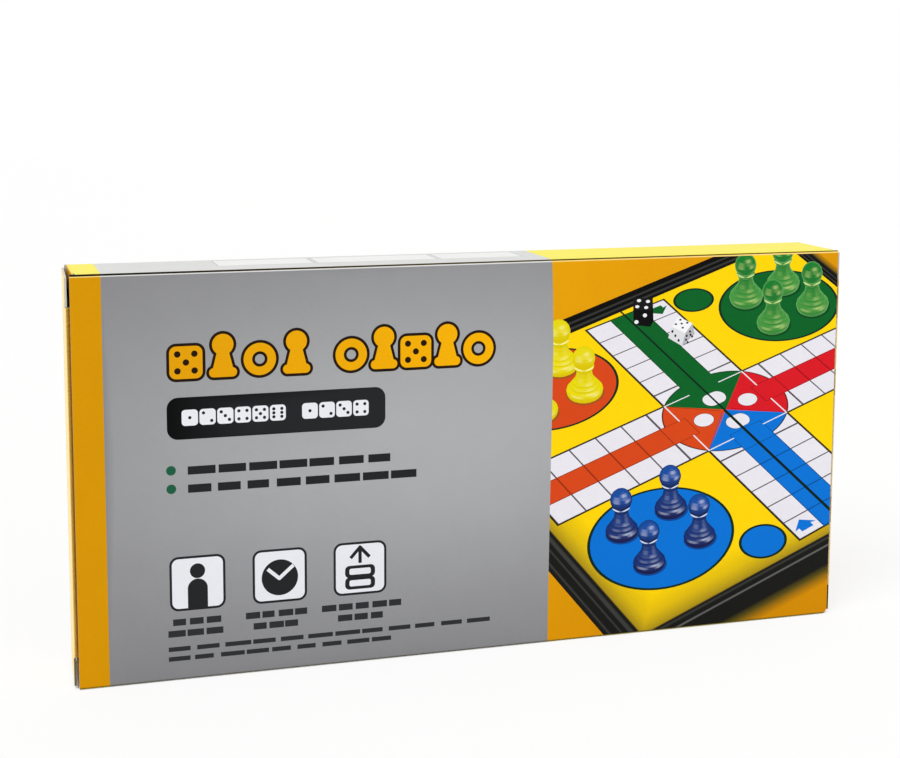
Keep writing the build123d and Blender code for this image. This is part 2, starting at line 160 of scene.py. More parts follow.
class CartonInks(bpy.types.PropertyGroup):
    """Inks of the carton's print."""

    band: ink("Band", "#D39300", "Yellow of the band at the left-hand end")
    field: ink("Field", "#7E7E81", "Silvery grey round the edge of the title field")
    # painted sheen: the field is lightest about a place a little above its middle, and the back takes this
    # grey
    field_sheen: ink("Field, light", "#ABACAE", "The same grey where it is lightest")
    ground_high: ink("Ground, top", "#E49F03", "Orange ground of the picture, at its top left")
    ground_low: ink("Ground, foot", "#D08B00", "Orange ground of the picture, at its lower right")
    # painted sheen: the top's yellow and grey are paler than the front's band and field, as a lit top looks;
    # the base takes them too
    cap_sheen_yellow: ink("Top yellow", "#E8DB36", "Yellow of the top and base beside the picture")
    cap_sheen_grey: ink("Top grey", "#C7C7C5", "Pale grey of the top and base")
    label: ink("Labels", "#DBDBDA", "Pale grey of the label boxes on top")
    # painted sheen: the end flaps' yellow is paler than the band's, as a strongly lit end looks
    end_yellow: ink("End yellow", "#F7E29A", "Yellow of the end flaps")
    # worn ink and painted highlight on the end creases: cracked pale cream outside, gold on their front side
    wear_and_highlight_cream: ink("Worn crease", "#FFEEBE", "Cream of the end creases' outside, where the ink has cracked")
    wear_and_sheen_gold: ink("Crease front", "#E0B048", "Gold of the end creases' front side")
    token: ink("Tokens", "#F4B000", "Fill of the row of tokens, at its right")
    token_deep: ink("Tokens, deep", "#E09D04", "The same fill at its left")
    token_edge: ink("Token edges", "#22150A", "Outline of the row of tokens")
    black: ink("Black", "#242527", "Black of the plate, bars and pictograms")
    # painted reflection: the plate is deepest black at its left-hand end and lighter to the right
    black_deep: ink("Black, deep", "#060707", "The plate's black at its left-hand end")
    white: ink("White", "#E7E8EE", "Bare white of the squares")
    bullet: ink("Bullets", "#1E5C41", "Green of the two bullets")
    # painted highlight: pale strips under the long front fold, where its rounding catches the light
    highlit: ink("Rubbed grey", "#D8D8D6", "Grey where the long front fold has been rubbed")
    highlit_yellow: ink("Rubbed yellow", "#F4D079", "Yellow and orange where it has been rubbed")
    # painted shade: a dark line in the long front fold, black at the left and olive at the right, and also
    # under the lower fold
    fold_shade: ink("Score", "#0C0B08", "Dark line where the long front fold is scored")
    fold_shade_olive: ink("Score, worn", "#5A4A1C", "The same line at its paler right-hand end")


class BoardInks(bpy.types.PropertyGroup):
    """Inks of the ludo board, in the picture and on the play sheets."""

    sheet: ink("Sheet", "#FDD404", "Yellow ground of the board")
    cell: ink("Cells", "#E7E5EC", "White cells of the track")
    rule: ink("Rules", "#2A2312", "Outlines of the arms")
    fine_rule: ink("Fine rules", "#57525A", "Lines between the cells")
    green: ink("Green", "#0A6127", "Green quarter")
    orange: ink("Orange", "#D64719", "Orange quarter")
    blue: ink("Blue", "#0672D4", "Blue quarter")
    red: ink("Red", "#D71A25", "Red quarter")
    frame: ink("Frame", "#191917", "Black moulded frame in the picture")
    frame_ridge: ink("Frame ridges", "#3C3D3A", "Ridges along the frame")
    frame_light: ink("Frame light", "#6C6C6A", "Light along the frame's nearest ridge")


class CartonSizes(bpy.types.PropertyGroup):
    """Sizes of the carton's print and board."""

    band_width: length("Band", END_X - 118.9, "Width of the yellow band at the left-hand end")
    picture_reach: length("Picture", END_X - 24.0, "Width of the picture at the right-hand end")
    fold_shade_width: length("Score", 0.8, "Width of the dark line along the front's long upper fold")


class Studio(bpy.types.PropertyGroup):
    """Camera and lamps."""

    azimuth: angle("Azimuth", -16.875, "Turn of the camera about the carton")
    elevation: angle("Elevation", 7.237, "Height of the camera's line of sight")
    roll: angle("Roll", 0.204, "Turn of the camera about its line of sight")
    distance: length("Distance", 554.453, "Camera to the plane through the carton's middle")
    slide: length("Slide", -5.409, "Camera's offset to its right", min=-1)
    rise: length("Rise", 121.091, "Camera's offset upwards")
    focal: FloatProperty(name="Focal length", description="In widths of the image", default=1651.163 / 900)
    shift_y: FloatProperty(name="Lens shift", description="In widths of the image", default=-104 / 900)
    key: FloatProperty(name="Key", description="Strength of the broad lamp", default=1.75)
    key_turn: FloatVectorProperty(
        name="Key direction", description="Where the lamp lies", subtype="XYZ", default=(-0.48, -0.42, 0.77)
    )
    room: FloatProperty(name="Room", description="Light that the white room gives to all sides", default=0.8)


# ---- node helpers --------------------------------------------------------------------------
def add_node(tree, kind, inputs=(), **settings):
    """Adds a node, sets it up and links it; a node given as an input stands for its first output."""
    node = tree.nodes.new(kind)
    for key, value in settings.items():
        setattr(node, key, value)
    for key, value in dict(inputs).items():
        if isinstance(value, bpy.types.Node):
            value = value.outputs[0]
        if isinstance(value, bpy.types.NodeSocket):
            tree.links.new(value, node.inputs[key])
        else:
            node.inputs[key].default_value = value
    return node


def material(name):
    """An empty node material, its tree and its Object coordinates."""
    made = bpy.data.materials.new(name)
    made.use_nodes = True
    tree = made.node_tree
    tree.nodes.clear()
    return made, tree, add_node(tree, "ShaderNodeTexCoord").outputs["Object"]


def tint(tree, colour, by, amount):
    """A colour made lighter and darker by a 0 to 1 value, by up to the given share."""
    gain = add_node(tree, "ShaderNodeMapRange", {0: by, 3: 1 - amount, 4: 1 + amount})
    return add_node(tree, "ShaderNodeVectorMath", {0: colour, "Scale": gain}, operation="SCALE")


def grain(tree, where, size, stretch=(1, 1, 1), detail=3.0, distortion=0.0):
    """Noise with features of about size millimetres, drawn out along an axis by a stretch under 1."""
    scaled = add_node(tree, "ShaderNodeMapping", {0: where, 3: stretch})
    inputs = {"Vector": scaled, "Scale": 1 / (size * MM), "Detail": detail, "Distortion": distortion}
    return add_node(tree, "ShaderNodeTexNoise", inputs)


# ---- materials -----------------------------------------------------------------------------
ALONG, UP, EVEN = (0.3, 1, 1), (1, 1, 0.3), (1, 1, 1)  # how a grain is drawn out
WARP = (50.0, 0.4)  # wide board is never quite flat: size and height of its waves
# darker fibres in greyboard: their size, the noise over which they start, their strength and their colour
FLECKS, FLECK_TONE = (0.7, {1: 0.66, 2: 0.72, 3: 0.0, 4: 0.35}), "#7C7568"

# Of each: colour, or None for its printed inks; grains, each as size in millimetres, stretch, detail
# and the share by which it tints; least and most roughness; depth and strength of its relief, and
# the number of the grain that makes it if that isn't the first.
FINISHES = {
    # clay-coated board, offset printed and sealed: dark inks stay deep, and it shines at a glance; the
    # fibres under the uneven film of ink are 0.1 mm wide, drawn at 0.5 mm so that they show
    "printed_carton_board": (
        None, [(0.5, (0.25, 1, 1), 3.0, 0.035), (14.0, EVEN, 3.0, 0.04)], (0.3, 0.42), (0.012, 0.5),
        {"IOR": 1.48, "Specular IOR Level": 0.06},
    ),
    # greyboard back of the same board: pressed waste fibre, dull, with darker flecks
    "uncoated_greyboard": ("#C9C4B8", [(0.45, ALONG, 5.0, 0.09)], (0.78, 0.92), (0.03, 0.7), {}),
    # high-impact polystyrene from a spark-eroded mould: black, with a fine satin grain
    "black_moulded_polystyrene": (
        "#17181B", [(0.35, EVEN, 2.0, 0), (30.0, (0.4, 1, 1), 3.0, 0.18)], (0.34, 0.5), (0.02, 0.6),
        {"IOR": 1.59},
    ),
    # enamelled and printed tinplate: glossy, with the rolled sheet's faint waviness
    "printed_tinplate": (
        None, [(0.4, EVEN, 3.0, 0.03), (8.0, (0.2, 1, 1), 1.0, 0)], (0.2, 0.28), (0.01, 0.5, 1),
        {"Coat Weight": 0.5, "Coat Roughness": 0.08},
    ),
    # the sheet's own tinned steel, rolled bright, at its cut edge and back
    "bare_tinplate": (
        "#C8C6C0", [(0.3, (0.05, 1, 1), 3.0, 0.08)], (0.22, 0.4), (0.004, 0.5), {"Metallic": 1.0}
    ),
    # the pins' steel wire: fine drawn lines under the zinc
    "zinc_plated_steel_wire": (
        "#B9BCC2", [(0.15, (0.03, 1, 1), 3.0, 0.1)], (0.2, 0.38), (0.003, 0.5), {"Metallic": 1.0}
    ),
    # ferrite-filled rubber sheet: brown-black, matt, with fine calender lines
    "ferrite_rubber": ("#2B2724", [(0.3, (0.08, 1, 1), 3.0, 0.2)], (0.6, 0.78), (0.015, 0.6), {}),
    # the leaflet's offset paper: soft and white, with a visible formation
    "offset_paper": (
        "#ECE9E1", [(0.4, (0.4, 1, 1), 5.0, 0.04), (6.0, EVEN, 3.0, 0.03)], (0.8, 0.93), (0.02, 0.6), {}
    ),
}
# dyed polystyrene: glossy, a little clear at the skin, with swirls of the dye
for colour, dye, depth in (
    ("red", "#C4141C", 0.12), ("green", "#1E8A35", 0.25),
    ("blue", "#1C3F9E", 0.08), ("yellow", "#EBD51C", 0.3),
):
    clear = {"Subsurface Weight": depth, "Subsurface Radius": (0.9, 0.8, 0.6), "Subsurface Scale": 1.2 * MM}
    grains = [(0.6, UP, 3.0, 0), (5.0, EVEN, 2.0, 0.12, 1.6)]
    FINISHES[f"{colour}_polystyrene"] = (dye, grains, (0.14, 0.3), (0.02, 0.35, 1), {"IOR": 1.59, **clear})
# tumbled urea resin of the dice: polished, with soft marks; and the duller paint in their pips
for name, tone, smooth in (
    ("white_urea", "#F0EFEC", 0.2), ("white_die_pip_paint", "#121214", 0.35),
    ("black_urea", "#131315", 0.16), ("black_die_pip_paint", "#F3F2EE", 0.35),
):
    grains = [(0.5, EVEN, 3.0, 0), (6.0, EVEN, 3.0, 0.05)]
    FINISHES[name] = (tone, grains, (smooth - 0.06, smooth + 0.08), (0.012, 0.4), {"IOR": 1.6})


def finish(name):
    """The material of that name, made once."""
    if name in bpy.data.materials:
        return bpy.data.materials[name]
    made, tree, where = material(name)
    tone, grains, rough, (height, strength, *which), settings = FINISHES[name]
    noises = [grain(tree, where, *sizes[:3], *sizes[4:]) for sizes in grains]
    if tone:
        colour = linear(tone)
    else:
        colour = add_node(tree, "ShaderNodeAttribute", attribute_name="ink").outputs["Color"]
    for noise, sizes in zip(noises, grains):
        if sizes[3]:
            colour = tint(tree, colour, noise, sizes[3])
    if name == "uncoated_greyboard":
        flecks = add_node(tree, "ShaderNodeMapRange", {0: grain(tree, where, FLECKS[0]), **FLECKS[1]})
        colours = {0: flecks, 6: colour, 7: (*linear(FLECK_TONE), 1)}
        colour = add_node(tree, "ShaderNodeMix", colours, data_type="RGBA").outputs[2]
    relief = {"Height": noises[sum(which)], "Distance": height * MM, "Strength": strength}
    if name == "printed_carton_board":
        waves = {"Height": grain(tree, where, WARP[0], detail=0.0), "Distance": WARP[1] * MM}
        relief["Normal"] = add_node(tree, "ShaderNodeBump", waves)
    shader = add_node(tree, "ShaderNodeBsdfPrincipled", {
        "Base Color": colour,
        "Roughness": add_node(tree, "ShaderNodeMapRange", {0: noises[0], 3: rough[0], 4: rough[1]}),
        "Normal": add_node(tree, "ShaderNodeBump", relief),
        **settings,
    })
    add_node(tree, "ShaderNodeOutputMaterial", {"Surface": shader})
    return made


# ---- drawing -------------------------------------------------------------------------------
def gradient(ring, colours):
    """A colour that changes evenly over a ring, fitted to the colours at its corners."""
    terms = np.array([(x, y, 1.0) for x, y in ring])
    fit = np.linalg.lstsq(terms, np.array(colours), rcond=None)[0]
    return lambda x, y: tuple(np.clip(x * fit[0] + y * fit[1] + fit[2], 0, 1))


class Drawing:
    """Flat printed shapes in painter's order. through maps the drawing's own coordinates to the sheet."""

    def __init__(self, shapes=None, through=None):
        self.shapes = [] if shapes is None else shapes
        self.through = through or (lambda x, y: (x, y))

    def fill(self, ring, colour):
        self.shapes.append(([self.through(x, y) for x, y in ring], colour))

    def blend(self, ring, colours):
        seen = [self.through(x, y) for x, y in ring]
        self.shapes.append((seen, gradient(seen, colours)))

    def disc(self, centre, radius, colour, squeeze=1.0, sides=44):
        ring = circle(radius, 0, sides)
        self.fill([(centre[0] + x, centre[1] + squeeze * y) for x, y, _ in ring], colour)

    def box(self, low, high, colour, radius=0.0, steps=5):
        self.fill(rounded_box(low, high, radius, steps), colour)

    def block(self, centre, wide, tall, colour, radius=0.0):
        """A box about its middle, from half its width and height."""
        (x, y) = centre
        self.box((x - wide, y - tall), (x + wide, y + tall), colour, radius)

    def line(self, points, width, colour, ends=0.0):
        """A line of square ends, with its inner corners rounded by discs."""
        for (x0, y0), (x1, y1) in zip(points, points[1:]):
            along = Vector((x1 - x0, y1 - y0)).normalized()
            side = Vector((-along.y, along.x)) * width / 2
            tail, tip = Vector((x0, y0)) - along * ends, Vector((x1, y1)) + along * ends
            self.fill([tuple(p) for p in (tail - side, tip - side, tip + side, tail + side)], colour)
        for point in points[1:-1]:
            self.disc(point, width / 2, colour, sides=12)


def scaled(colour, gain):
    """A colour made darker or lighter."""
    return tuple(gain * c for c in colour)


def circle(radius, height, sides):
    """Points evenly round a circle."""
    turns = [2 * math.pi * i / sides for i in range(sides)]
    return [(radius * math.cos(t), radius * math.sin(t), height) for t in turns]


def rounded_box(low, high, radius=0.0, steps=5):
    """The ring of a box with rounded corners."""
    (x0, y0), (x1, y1) = low, high
    if not radius:
        return [low, (x1, y0), high, (x0, y1)]
    r, ring = radius, []
    for corner, (x, y) in enumerate(((x1 - r, y0 + r), (x1 - r, y1 - r), (x0 + r, y1 - r), (x0 + r, y0 + r))):
        for step in range(steps + 1):
            turn = math.pi / 2 * (corner - 1 + step / steps)
            ring.append((x + radius * math.cos(turn), y + radius * math.sin(turn)))
    return ring


# ---- making pieces ---------------------------------------------------------------------------
def linked(name, data):
    """A new object in the scene."""
    made = bpy.data.objects.new(name, data)
    bpy.context.scene.collection.objects.link(made)
    return made


def new_mesh(name, points, faces=()):
    """A new mesh from points in metres, and faces."""
    mesh = bpy.data.meshes.new(name)
    mesh.from_pydata(points, [], faces)
    return mesh


def piece(name, mesh, look, body):
    """A finished piece from a mesh in metres, riding on its body if it has one."""
    made = linked(name, mesh)
    mesh.materials.clear()
    mesh.materials.append(finish(look))
    if body:
        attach(made, body)
    return made


def printed(name, outline, shapes, place, body, guides=(), look="printed_carton_board"):
    """A printed skin as a finished piece."""
    return piece(name, inlay(name, outline, shapes, place, guides), look, body)


def lofted(rings, closed=True):
    """The points of rings given in millimetres, and the quads between one ring and the next."""
    count = len(rings[0])
    faces = [
        (row + i, row + (i + 1) % count, row + count + (i + 1) % count, row + count + i)
        for row in range(0, (len(rings) - 1) * count, count)
        for i in range(count if closed else count - 1)
    ]
    return [Vector(p) * MM for ring in rings for p in ring], faces


def inside(ring, spots):
    """Which spots lie inside a ring, by how often a ray from each crosses it."""
    odd = np.zeros(len(spots), bool)
    for (x0, y0), (x1, y1) in zip(ring, np.roll(ring, -1, 0)):
        if y0 != y1:
            crossed = (y0 > spots[:, 1]) != (y1 > spots[:, 1])
            odd ^= crossed & (spots[:, 0] < x0 + (x1 - x0) * (spots[:, 1] - y0) / (y1 - y0))
    return odd


def inlay(name, outline, shapes, place, guides=()):
    """A printed skin: the outline cut into one face per ink, each point put where place says.

    place turns sheet coordinates into a point and its outward normal, both in millimetres.
    Guides are lines along which the skin bends.
    """
    points, rings, owned = [], [], []
    for ring, _ in [(outline, None), *shapes]:
        clean = [p for p, q in zip(ring, [*ring[1:], ring[0]]) if math.dist(p, q) > 2e-3]
        area = sum(p[0] * q[1] - q[0] * p[1] for p, q in zip(clean, [*clean[1:], clean[0]]))
        if area < 0:
            clean.reverse()
        rings.append(list(range(len(points), len(points) + len(clean))))
        points += clean
        owned.append(np.array(clean))
    edges = []
    for tail, tip in guides:
        if math.dist(tail, tip) > 0:
            edges.append((len(points), len(points) + 1))
            points += [tail, tip]
        else:
            points.append(tail)
    flat, _, faces, *_ = delaunay_2d_cdt([Vector(p) for p in points], edges, rings, 0, 1e-4, False)
    middles = np.array(flat)[np.array(faces)].mean(1)
    owners, by_x = np.full(len(faces), -1), np.argsort(middles[:, 0])
    ranks = middles[by_x, 0]
    for number, ring in enumerate(owned):
        first, last = np.searchsorted(ranks, (ring[:, 0].min(), ring[:, 0].max()))
        near = by_x[first:last]
        near = near[(middles[near, 1] > ring[:, 1].min()) & (middles[near, 1] < ring[:, 1].max())]
        near = near[inside(ring, middles[near])]
        owners[near] = np.where(owners[near] >= 0, number, owners[near]) if number else 0
    kept = [(face, owner) for face, owner in zip(faces, owners) if owner >= 0]
    used = sorted({v for face, _ in kept for v in face})
    index = {v: i for i, v in enumerate(used)}
    placed = [place(flat[v].x, flat[v].y) for v in used]
    first = kept[0][0]
    a, b, c = (Vector(placed[index[v]][0]) for v in first[:3])
    flip = (b - a).cross(c - a).dot(Vector(placed[index[first[0]]][1])) < 0
    rows = [[index[v] for v in (reversed(face) if flip else face)] for face, _ in kept]
    mesh = new_mesh(name, [Vector(p) * MM for p, _ in placed], rows)
    low = np.array([min(p[i] for p in outline) for i in (0, 1)])
    size = np.array([max(p[i] for p in outline) for i in (0, 1)]) - low
    colours = mesh.color_attributes.new("ink", "FLOAT_COLOR", "CORNER")
    sheet = mesh.uv_layers.new(name="OFBake")
    for polygon, (_, owner) in zip(mesh.polygons, kept):
        polygon.use_smooth = True
        colour = shapes[owner - 1][1] if owner else (1, 0, 1)
        for corner in polygon.loop_indices:
            spot = flat[used[mesh.loops[corner].vertex_index]]
            colours.data[corner].color = (*(colour(spot.x, spot.y) if callable(colour) else colour), 1)
            sheet.data[corner].uv = 0.005 + 0.99 * (np.array(spot) - low) / size
    mesh.normals_split_custom_set_from_vertices([n for _, n in placed])
    return mesh


def grid(low, high, step):
    """Guide points on a grid, as lines of no length, so that a wide panel has points all over it."""
    return [
        ((x, y), (x, y))
        for x in np.arange(low[0] + step / 2, high[0], step)
        for y in np.arange(low[1] + step / 2, high[1], step)
    ]


# ---- geometry nodes --------------------------------------------------------------------------
def node_tree(name, inputs):
    """An empty geometry node tree with named inputs, the last one its finish, and its two end nodes."""
    tree = bpy.data.node_groups.new(name, "GeometryNodeTree")
    for label, kind in {"Geometry": "Geometry", **inputs, "Finish": "Material"}.items():
        tree.interface.new_socket(label, in_out="INPUT", socket_type="NodeSocket" + kind)
    tree.interface.new_socket("Geometry", in_out="OUTPUT", socket_type="NodeSocketGeometry")
    return tree, add_node(tree, "NodeGroupInput").outputs, add_node(tree, "NodeGroupOutput").inputs


def set_copies(tree, given, result, placing):
    """Ends a tree in copies on points, made real and given their finish."""
    placed = add_node(tree, "GeometryNodeInstanceOnPoints", placing)
    real = add_node(tree, "GeometryNodeRealizeInstances", {0: placed})
    dressed = add_node(tree, "GeometryNodeSetMaterial", {"Geometry": real, "Material": given["Finish"]})
    tree.links.new(dressed.outputs[0], result[0])
    return tree


def grown(tree, points, values, name):
    """The plain mesh that a tree makes from a mesh of points, with its inputs set by name."""
    holder = linked(name, points)
    modifier = holder.modifiers.new("grow", "NODES")
    modifier.node_group = tree
    for item in tree.interface.items_tree:
        if item.in_out == "INPUT" and item.name in values:
            modifier[item.identifier] = values[item.name]
    view = bpy.context.evaluated_depsgraph_get()
    mesh = bpy.data.meshes.new_from_object(holder.evaluated_get(view), depsgraph=view)
    bpy.data.objects.remove(holder)
    if not mesh.polygons:
        raise RuntimeError(f"{name}: the tree {tree.name} made nothing")
    return mesh


def copies_tree():
    """Copies of a motif on points, each turned and scaled by the point's own attributes."""
    tree, given, result = node_tree("copies_on_points", {"Motif": "Object", "Scale": "Float"})
    motif = add_node(tree, "GeometryNodeObjectInfo", {"Object": given["Motif"]})
    turn = add_node(tree, "GeometryNodeInputNamedAttribute", {"Name": "turn"}, data_type="FLOAT_VECTOR")
    size = add_node(tree, "GeometryNodeInputNamedAttribute", {"Name": "size"}, data_type="FLOAT_VECTOR")
    scale = add_node(tree, "ShaderNodeVectorMath", {0: size, "Scale": given["Scale"]}, operation="SCALE")
    turned = add_node(tree, "FunctionNodeEulerToRotation", {0: turn})
    placing = {"Points": given["Geometry"], "Instance": motif.outputs["Geometry"]}
    return set_copies(tree, given, result, {**placing, "Rotation": turned, "Scale": scale})


def bars_tree():
    """A row of bars with seeded, uneven lengths, as words in a line of print stand."""
    inputs = dict.fromkeys(("Pitch", "Shortest", "Longest", "Height"), "Float")
    tree, given, result = node_tree("row_of_bars", {"Count": "Int", **inputs, "Seed": "Int"})
    step = add_node(tree, "ShaderNodeCombineXYZ", {0: given["Pitch"]})
    row = add_node(tree, "GeometryNodeMeshLine", {"Count": given["Count"], "Offset": step})
    square = {"Size X": 1.0, "Size Y": 1.0, "Vertices X": 2, "Vertices Y": 2}
    bar = add_node(tree, "GeometryNodeMeshGrid", square)
    anchored = add_node(tree, "GeometryNodeTransform", {"Geometry": bar, "Translation": (0.5, 0.5, 0.0)})
    reach = {2: given["Shortest"], 3: given["Longest"], "Seed": given["Seed"]}
    reach = add_node(tree, "FunctionNodeRandomValue", reach, data_type="FLOAT").outputs[1]
    scale = add_node(tree, "ShaderNodeCombineXYZ", {0: reach, 1: given["Height"], 2: 1.0})
    return set_copies(tree, given, result, {"Points": row, "Instance": anchored, "Scale": scale})


def points_mesh(rows):
    """A mesh of points from rows of place, turn and size."""
    mesh = new_mesh("points", [row[0] for row in rows])
    for name, column in (("turn", 1), ("size", 2)):
        attribute = mesh.attributes.new(name, "FLOAT_VECTOR", "POINT")
        attribute.data.foreach_set("vector", [c for row in rows for c in row[column]])
    return mesh


def copies(name, motif_mesh, rows, look=None):
    """One mesh of a motif's copies at rows of place, turn and size."""
    motif = linked(name + "_motif", motif_mesh)
    tree = bpy.data.node_groups.get("copies_on_points") or copies_tree()
    values = {"Motif": motif, "Scale": 1.0, "Finish": look and finish(look)}
    mesh = grown(tree, points_mesh(rows), values, name)
    bpy.data.objects.remove(motif)
    return mesh


def rings_of(mesh, corner=(0.0, 0.0)):
    """The faces of a flat mesh as rings, moved to a corner."""
    return [
        [(corner[0] + mesh.vertices[v].co.x, corner[1] + mesh.vertices[v].co.y) for v in polygon.vertices]
        for polygon in mesh.polygons
    ]


def repeat_shape(drawing, ring, places, colour):
    """Prints a shape at every place, as copies made by geometry nodes."""
    rows = [((x, y, 0), (0, 0, turn), (1, 1, 1)) for x, y, turn in places]
    shape = new_mesh("shape", [(x, y, 0) for x, y in ring], [list(range(len(ring)))])
    for copy in rings_of(copies("printed_copies", shape, rows)):
        drawing.fill(copy, colour)


def print_bars(drawing, corner, reach, height, pitch, colour, seed):
    """A line of print as plain bars, from a lower left corner up to a reach."""
    tree = bpy.data.node_groups.get("row_of_bars") or bars_tree()
    lengths = {"Shortest": 0.72 * pitch, "Longest": 0.93 * pitch, "Height": height}
    values = {"Count": max(1, round(reach / pitch)), "Pitch": pitch, **lengths, "Seed": seed}
    start = points_mesh([((0, 0, 0), (0, 0, 0), (1, 1, 1))])
    for ring in rings_of(grown(tree, start, values, "bars"), corner):
        drawing.fill(ring, colour)


# ---- the ludo pattern ------------------------------------------------------------------------
# in widths of one column of the track, from the board's middle; the green arm runs along +b
ARM_EDGE = 1.5
FIRST_RULE = 2.251
CELL_PITCH = 0.977
ARM_TIP = FIRST_RULE + 5 * CELL_PITCH
SHEET_REACH = 7.6
WHEEL = ARM_EDGE * math.sqrt(2)
FOLD_GAP = 0.134  # by which each half stands off the fold
HOMES = [((4.97, 4.16), 2.3), ((-4.1, 4.86), 2.24), ((-4.89, -4.11), 2.24), ((4.3, -4.9), 2.28)]  # by colour
STARTS = [((2.43, 6.43), 0.7), ((-6.42, 2.45), 0.7), ((-2.48, -6.41), 0.7), ((6.42, -2.45), 0.7)]
DISC_RULE = 0.09  # width of the homes' and starts' outlines
HEAVY, LIGHT = 0.058, 0.026  # half widths of the arms' and the cells' rules
WHEEL_DISC = (0, 0.79)
ARROW_CELL = (1, FIRST_RULE + 4.5 * CELL_PITCH)
ARROW = [(-0.42, 0.1), (0, -0.3), (0.42, 0.1), (0.23, 0.06), (0.23, 0.24), (-0.23, 0.24), (-0.23, 0.06)]


def quarter_turn(point, times):
    """A point turned about the board's middle by quarters of a turn."""
    a, b = point
    for _ in range(times):
        a, b = -b, a
    return a, b


def draw_ludo(drawing, inks):
    """The traditional ludo cross: four homes, the track of cells and the wheel in the middle."""
    cell, colours = inks.cell, (inks.green, inks.orange, inks.blue, inks.red)
    rows, outer = [FIRST_RULE + CELL_PITCH * (row + 0.5) for row in range(5)], (-1, 1)

    def cells(columns, levels, width, height, turn, colour):
        places = [(*quarter_turn((x, y), turn), turn * math.pi / 2) for x in columns for y in levels]
        ring = rounded_box((-width / 2, -height / 2), (width / 2, height / 2))
        repeat_shape(drawing, ring, places, colour)

    for turn, colour in enumerate(colours):
        for centre, radius in (HOMES[turn], STARTS[turn]):
            drawing.disc(centre, radius + DISC_RULE, linear("#0B2B20"), sides=64)
            drawing.disc(centre, radius, colour, sides=64)
    for turn in range(4):
        drawing.fill(turned((-ARM_EDGE, 0), (ARM_EDGE, ARM_TIP), turn, HEAVY), inks.rule)
    for turn, colour in enumerate(colours):
        for column in outer:
            drawing.fill(turned((column - 0.5, ARM_EDGE), (column + 0.5, ARM_TIP), turn), inks.fine_rule)
        wide, low = 1 - 2 * LIGHT, (ARM_EDGE + FIRST_RULE) / 2
        cells(outer, rows, wide, CELL_PITCH - 2 * LIGHT, turn, cell)
        cells(outer, [low], wide, FIRST_RULE - ARM_EDGE - 4 * LIGHT, turn, cell)
        drawing.fill(turned((-0.5, 0), (0.5, ARM_TIP), turn, LIGHT), scaled(colour, 0.45))
        # the first lane is plain; the others are ruled into cells
        cells([0], rows, 1 - LIGHT, CELL_PITCH - 2 * LIGHT * (turn > 0), turn, colour)
    drawing.disc((0, 0), WHEEL + 0.03, scaled(inks.rule, 0.3), sides=72)
    for turn, colour in enumerate(colours):
        spans = [math.pi / 4 * (1 + 2 * turn + i / 8) for i in range(17)]
        for radius, tone in ((WHEEL, scaled(colour, 0.5)), (WHEEL - 0.02, colour)):
            drawing.fill([(0, 0), *((radius * math.cos(t), radius * math.sin(t)) for t in spans)], tone)
        # each line starts clear of the fold, which parts what lies on it
        spoke = [quarter_turn((reach, reach), turn) for reach in (0.06, WHEEL * 0.7)]
        drawing.line(spoke, 0.025, scaled(colour, 0.45))
    for turn, colour in enumerate(colours):
        # the lane's inner end is outlined on all arms but the first
        ends = (-0.5, FIRST_RULE - CELL_PITCH), (0.5, FIRST_RULE)
        drawing.fill(turned(*ends, turn, 0.02), scaled(colour, 0.5) if turn else colour)
        drawing.fill(turned(*ends, turn, -0.01), colour)
        for column in outer:
            # short white lines carry the arm's edge into the wheel
            drawing.fill(turned((column - 0.5, ARM_EDGE), (column + 0.5, ARM_EDGE), turn, 0.025), cell)
        # the fold widens the two discs that it crosses, so they are drawn narrower
        spot, tall = quarter_turn(WHEEL_DISC, turn), 0.35
        wide = tall if turn % 2 else 0.29
        drawing.disc(spot, wide + 0.02, scaled(colour, 0.3), (tall + 0.02) / (wide + 0.02), sides=32)
        drawing.disc(spot, wide, cell, tall / wide, sides=32)
        x, y = ARROW_CELL
        drawing.fill([quarter_turn((x + dx, y + dy), turn) for dx, dy in ARROW], colour)


def turned(low, high, turn, grow=0.0):
    """An upright box, grown on all sides and then turned by quarters."""
    low, high = (low[0] - grow, low[1] - grow), (high[0] + grow, high[1] + grow)
    return [quarter_turn(p, turn) for p in rounded_box(low, high)]


# ---- the picture of the opened board -----------------------------------------------------------
SEEN_X = (9.49692, -4.55553, 87.30484)
SEEN_Z = (4.04087, 6.13664, 75.01756)
SEEN_FAR = (0.0092, 0.01281, 1.0)


def seen(a, b, gap=FOLD_GAP):
    """A point of the board, in perspective on the front panel; each half stands off the fold by a gap."""
    a += math.copysign(gap, a) if abs(a) > 1e-6 else 0.0
    far = SEEN_FAR[0] * a + SEEN_FAR[1] * b + SEEN_FAR[2]
    return (
        (SEEN_X[0] * a + SEEN_X[1] * b + SEEN_X[2]) / far,
        (SEEN_Z[0] * a + SEEN_Z[1] * b + SEEN_Z[2]) / far,
    )


# radius and height of a drawn pawn's rings, in millimetres on the panel
DRAWN_PAWN = [
    (4.6, 0.0), (5.2, 0.4), (5.6, 1.2), (5.7, 2.0), (5.5, 2.7), (5.0, 3.15), (4.6, 3.3), (4.65, 3.7),
    (4.2, 4.3), (3.7, 4.5), (3.7, 4.9), (3.0, 5.7), (2.55, 6.9), (2.35, 8.2), (2.5, 8.9), (3.0, 9.3),
    (3.1, 9.7), (2.9, 10.1),
]
DRAWN_HEAD, DRAWN_HEAD_Z = 4.0, 12.35
LOOK_DOWN = 0.53  # sine of the angle at which the pawns are seen
PAWN_LEAN = -0.045  # sideways shift of a ring, over its height
PAWN_SHINES = [((-0.41, -0.81, 0.41), 0.9, 40), ((0.27, -0.6, 0.75), 0.8, 44), ((0.62, -0.72, 0.3), 0.75, 50)]
PAWN_SHADOW = (0.2, 0.6), 5.95, 0.6  # its place by the foot, half its width and its squeeze
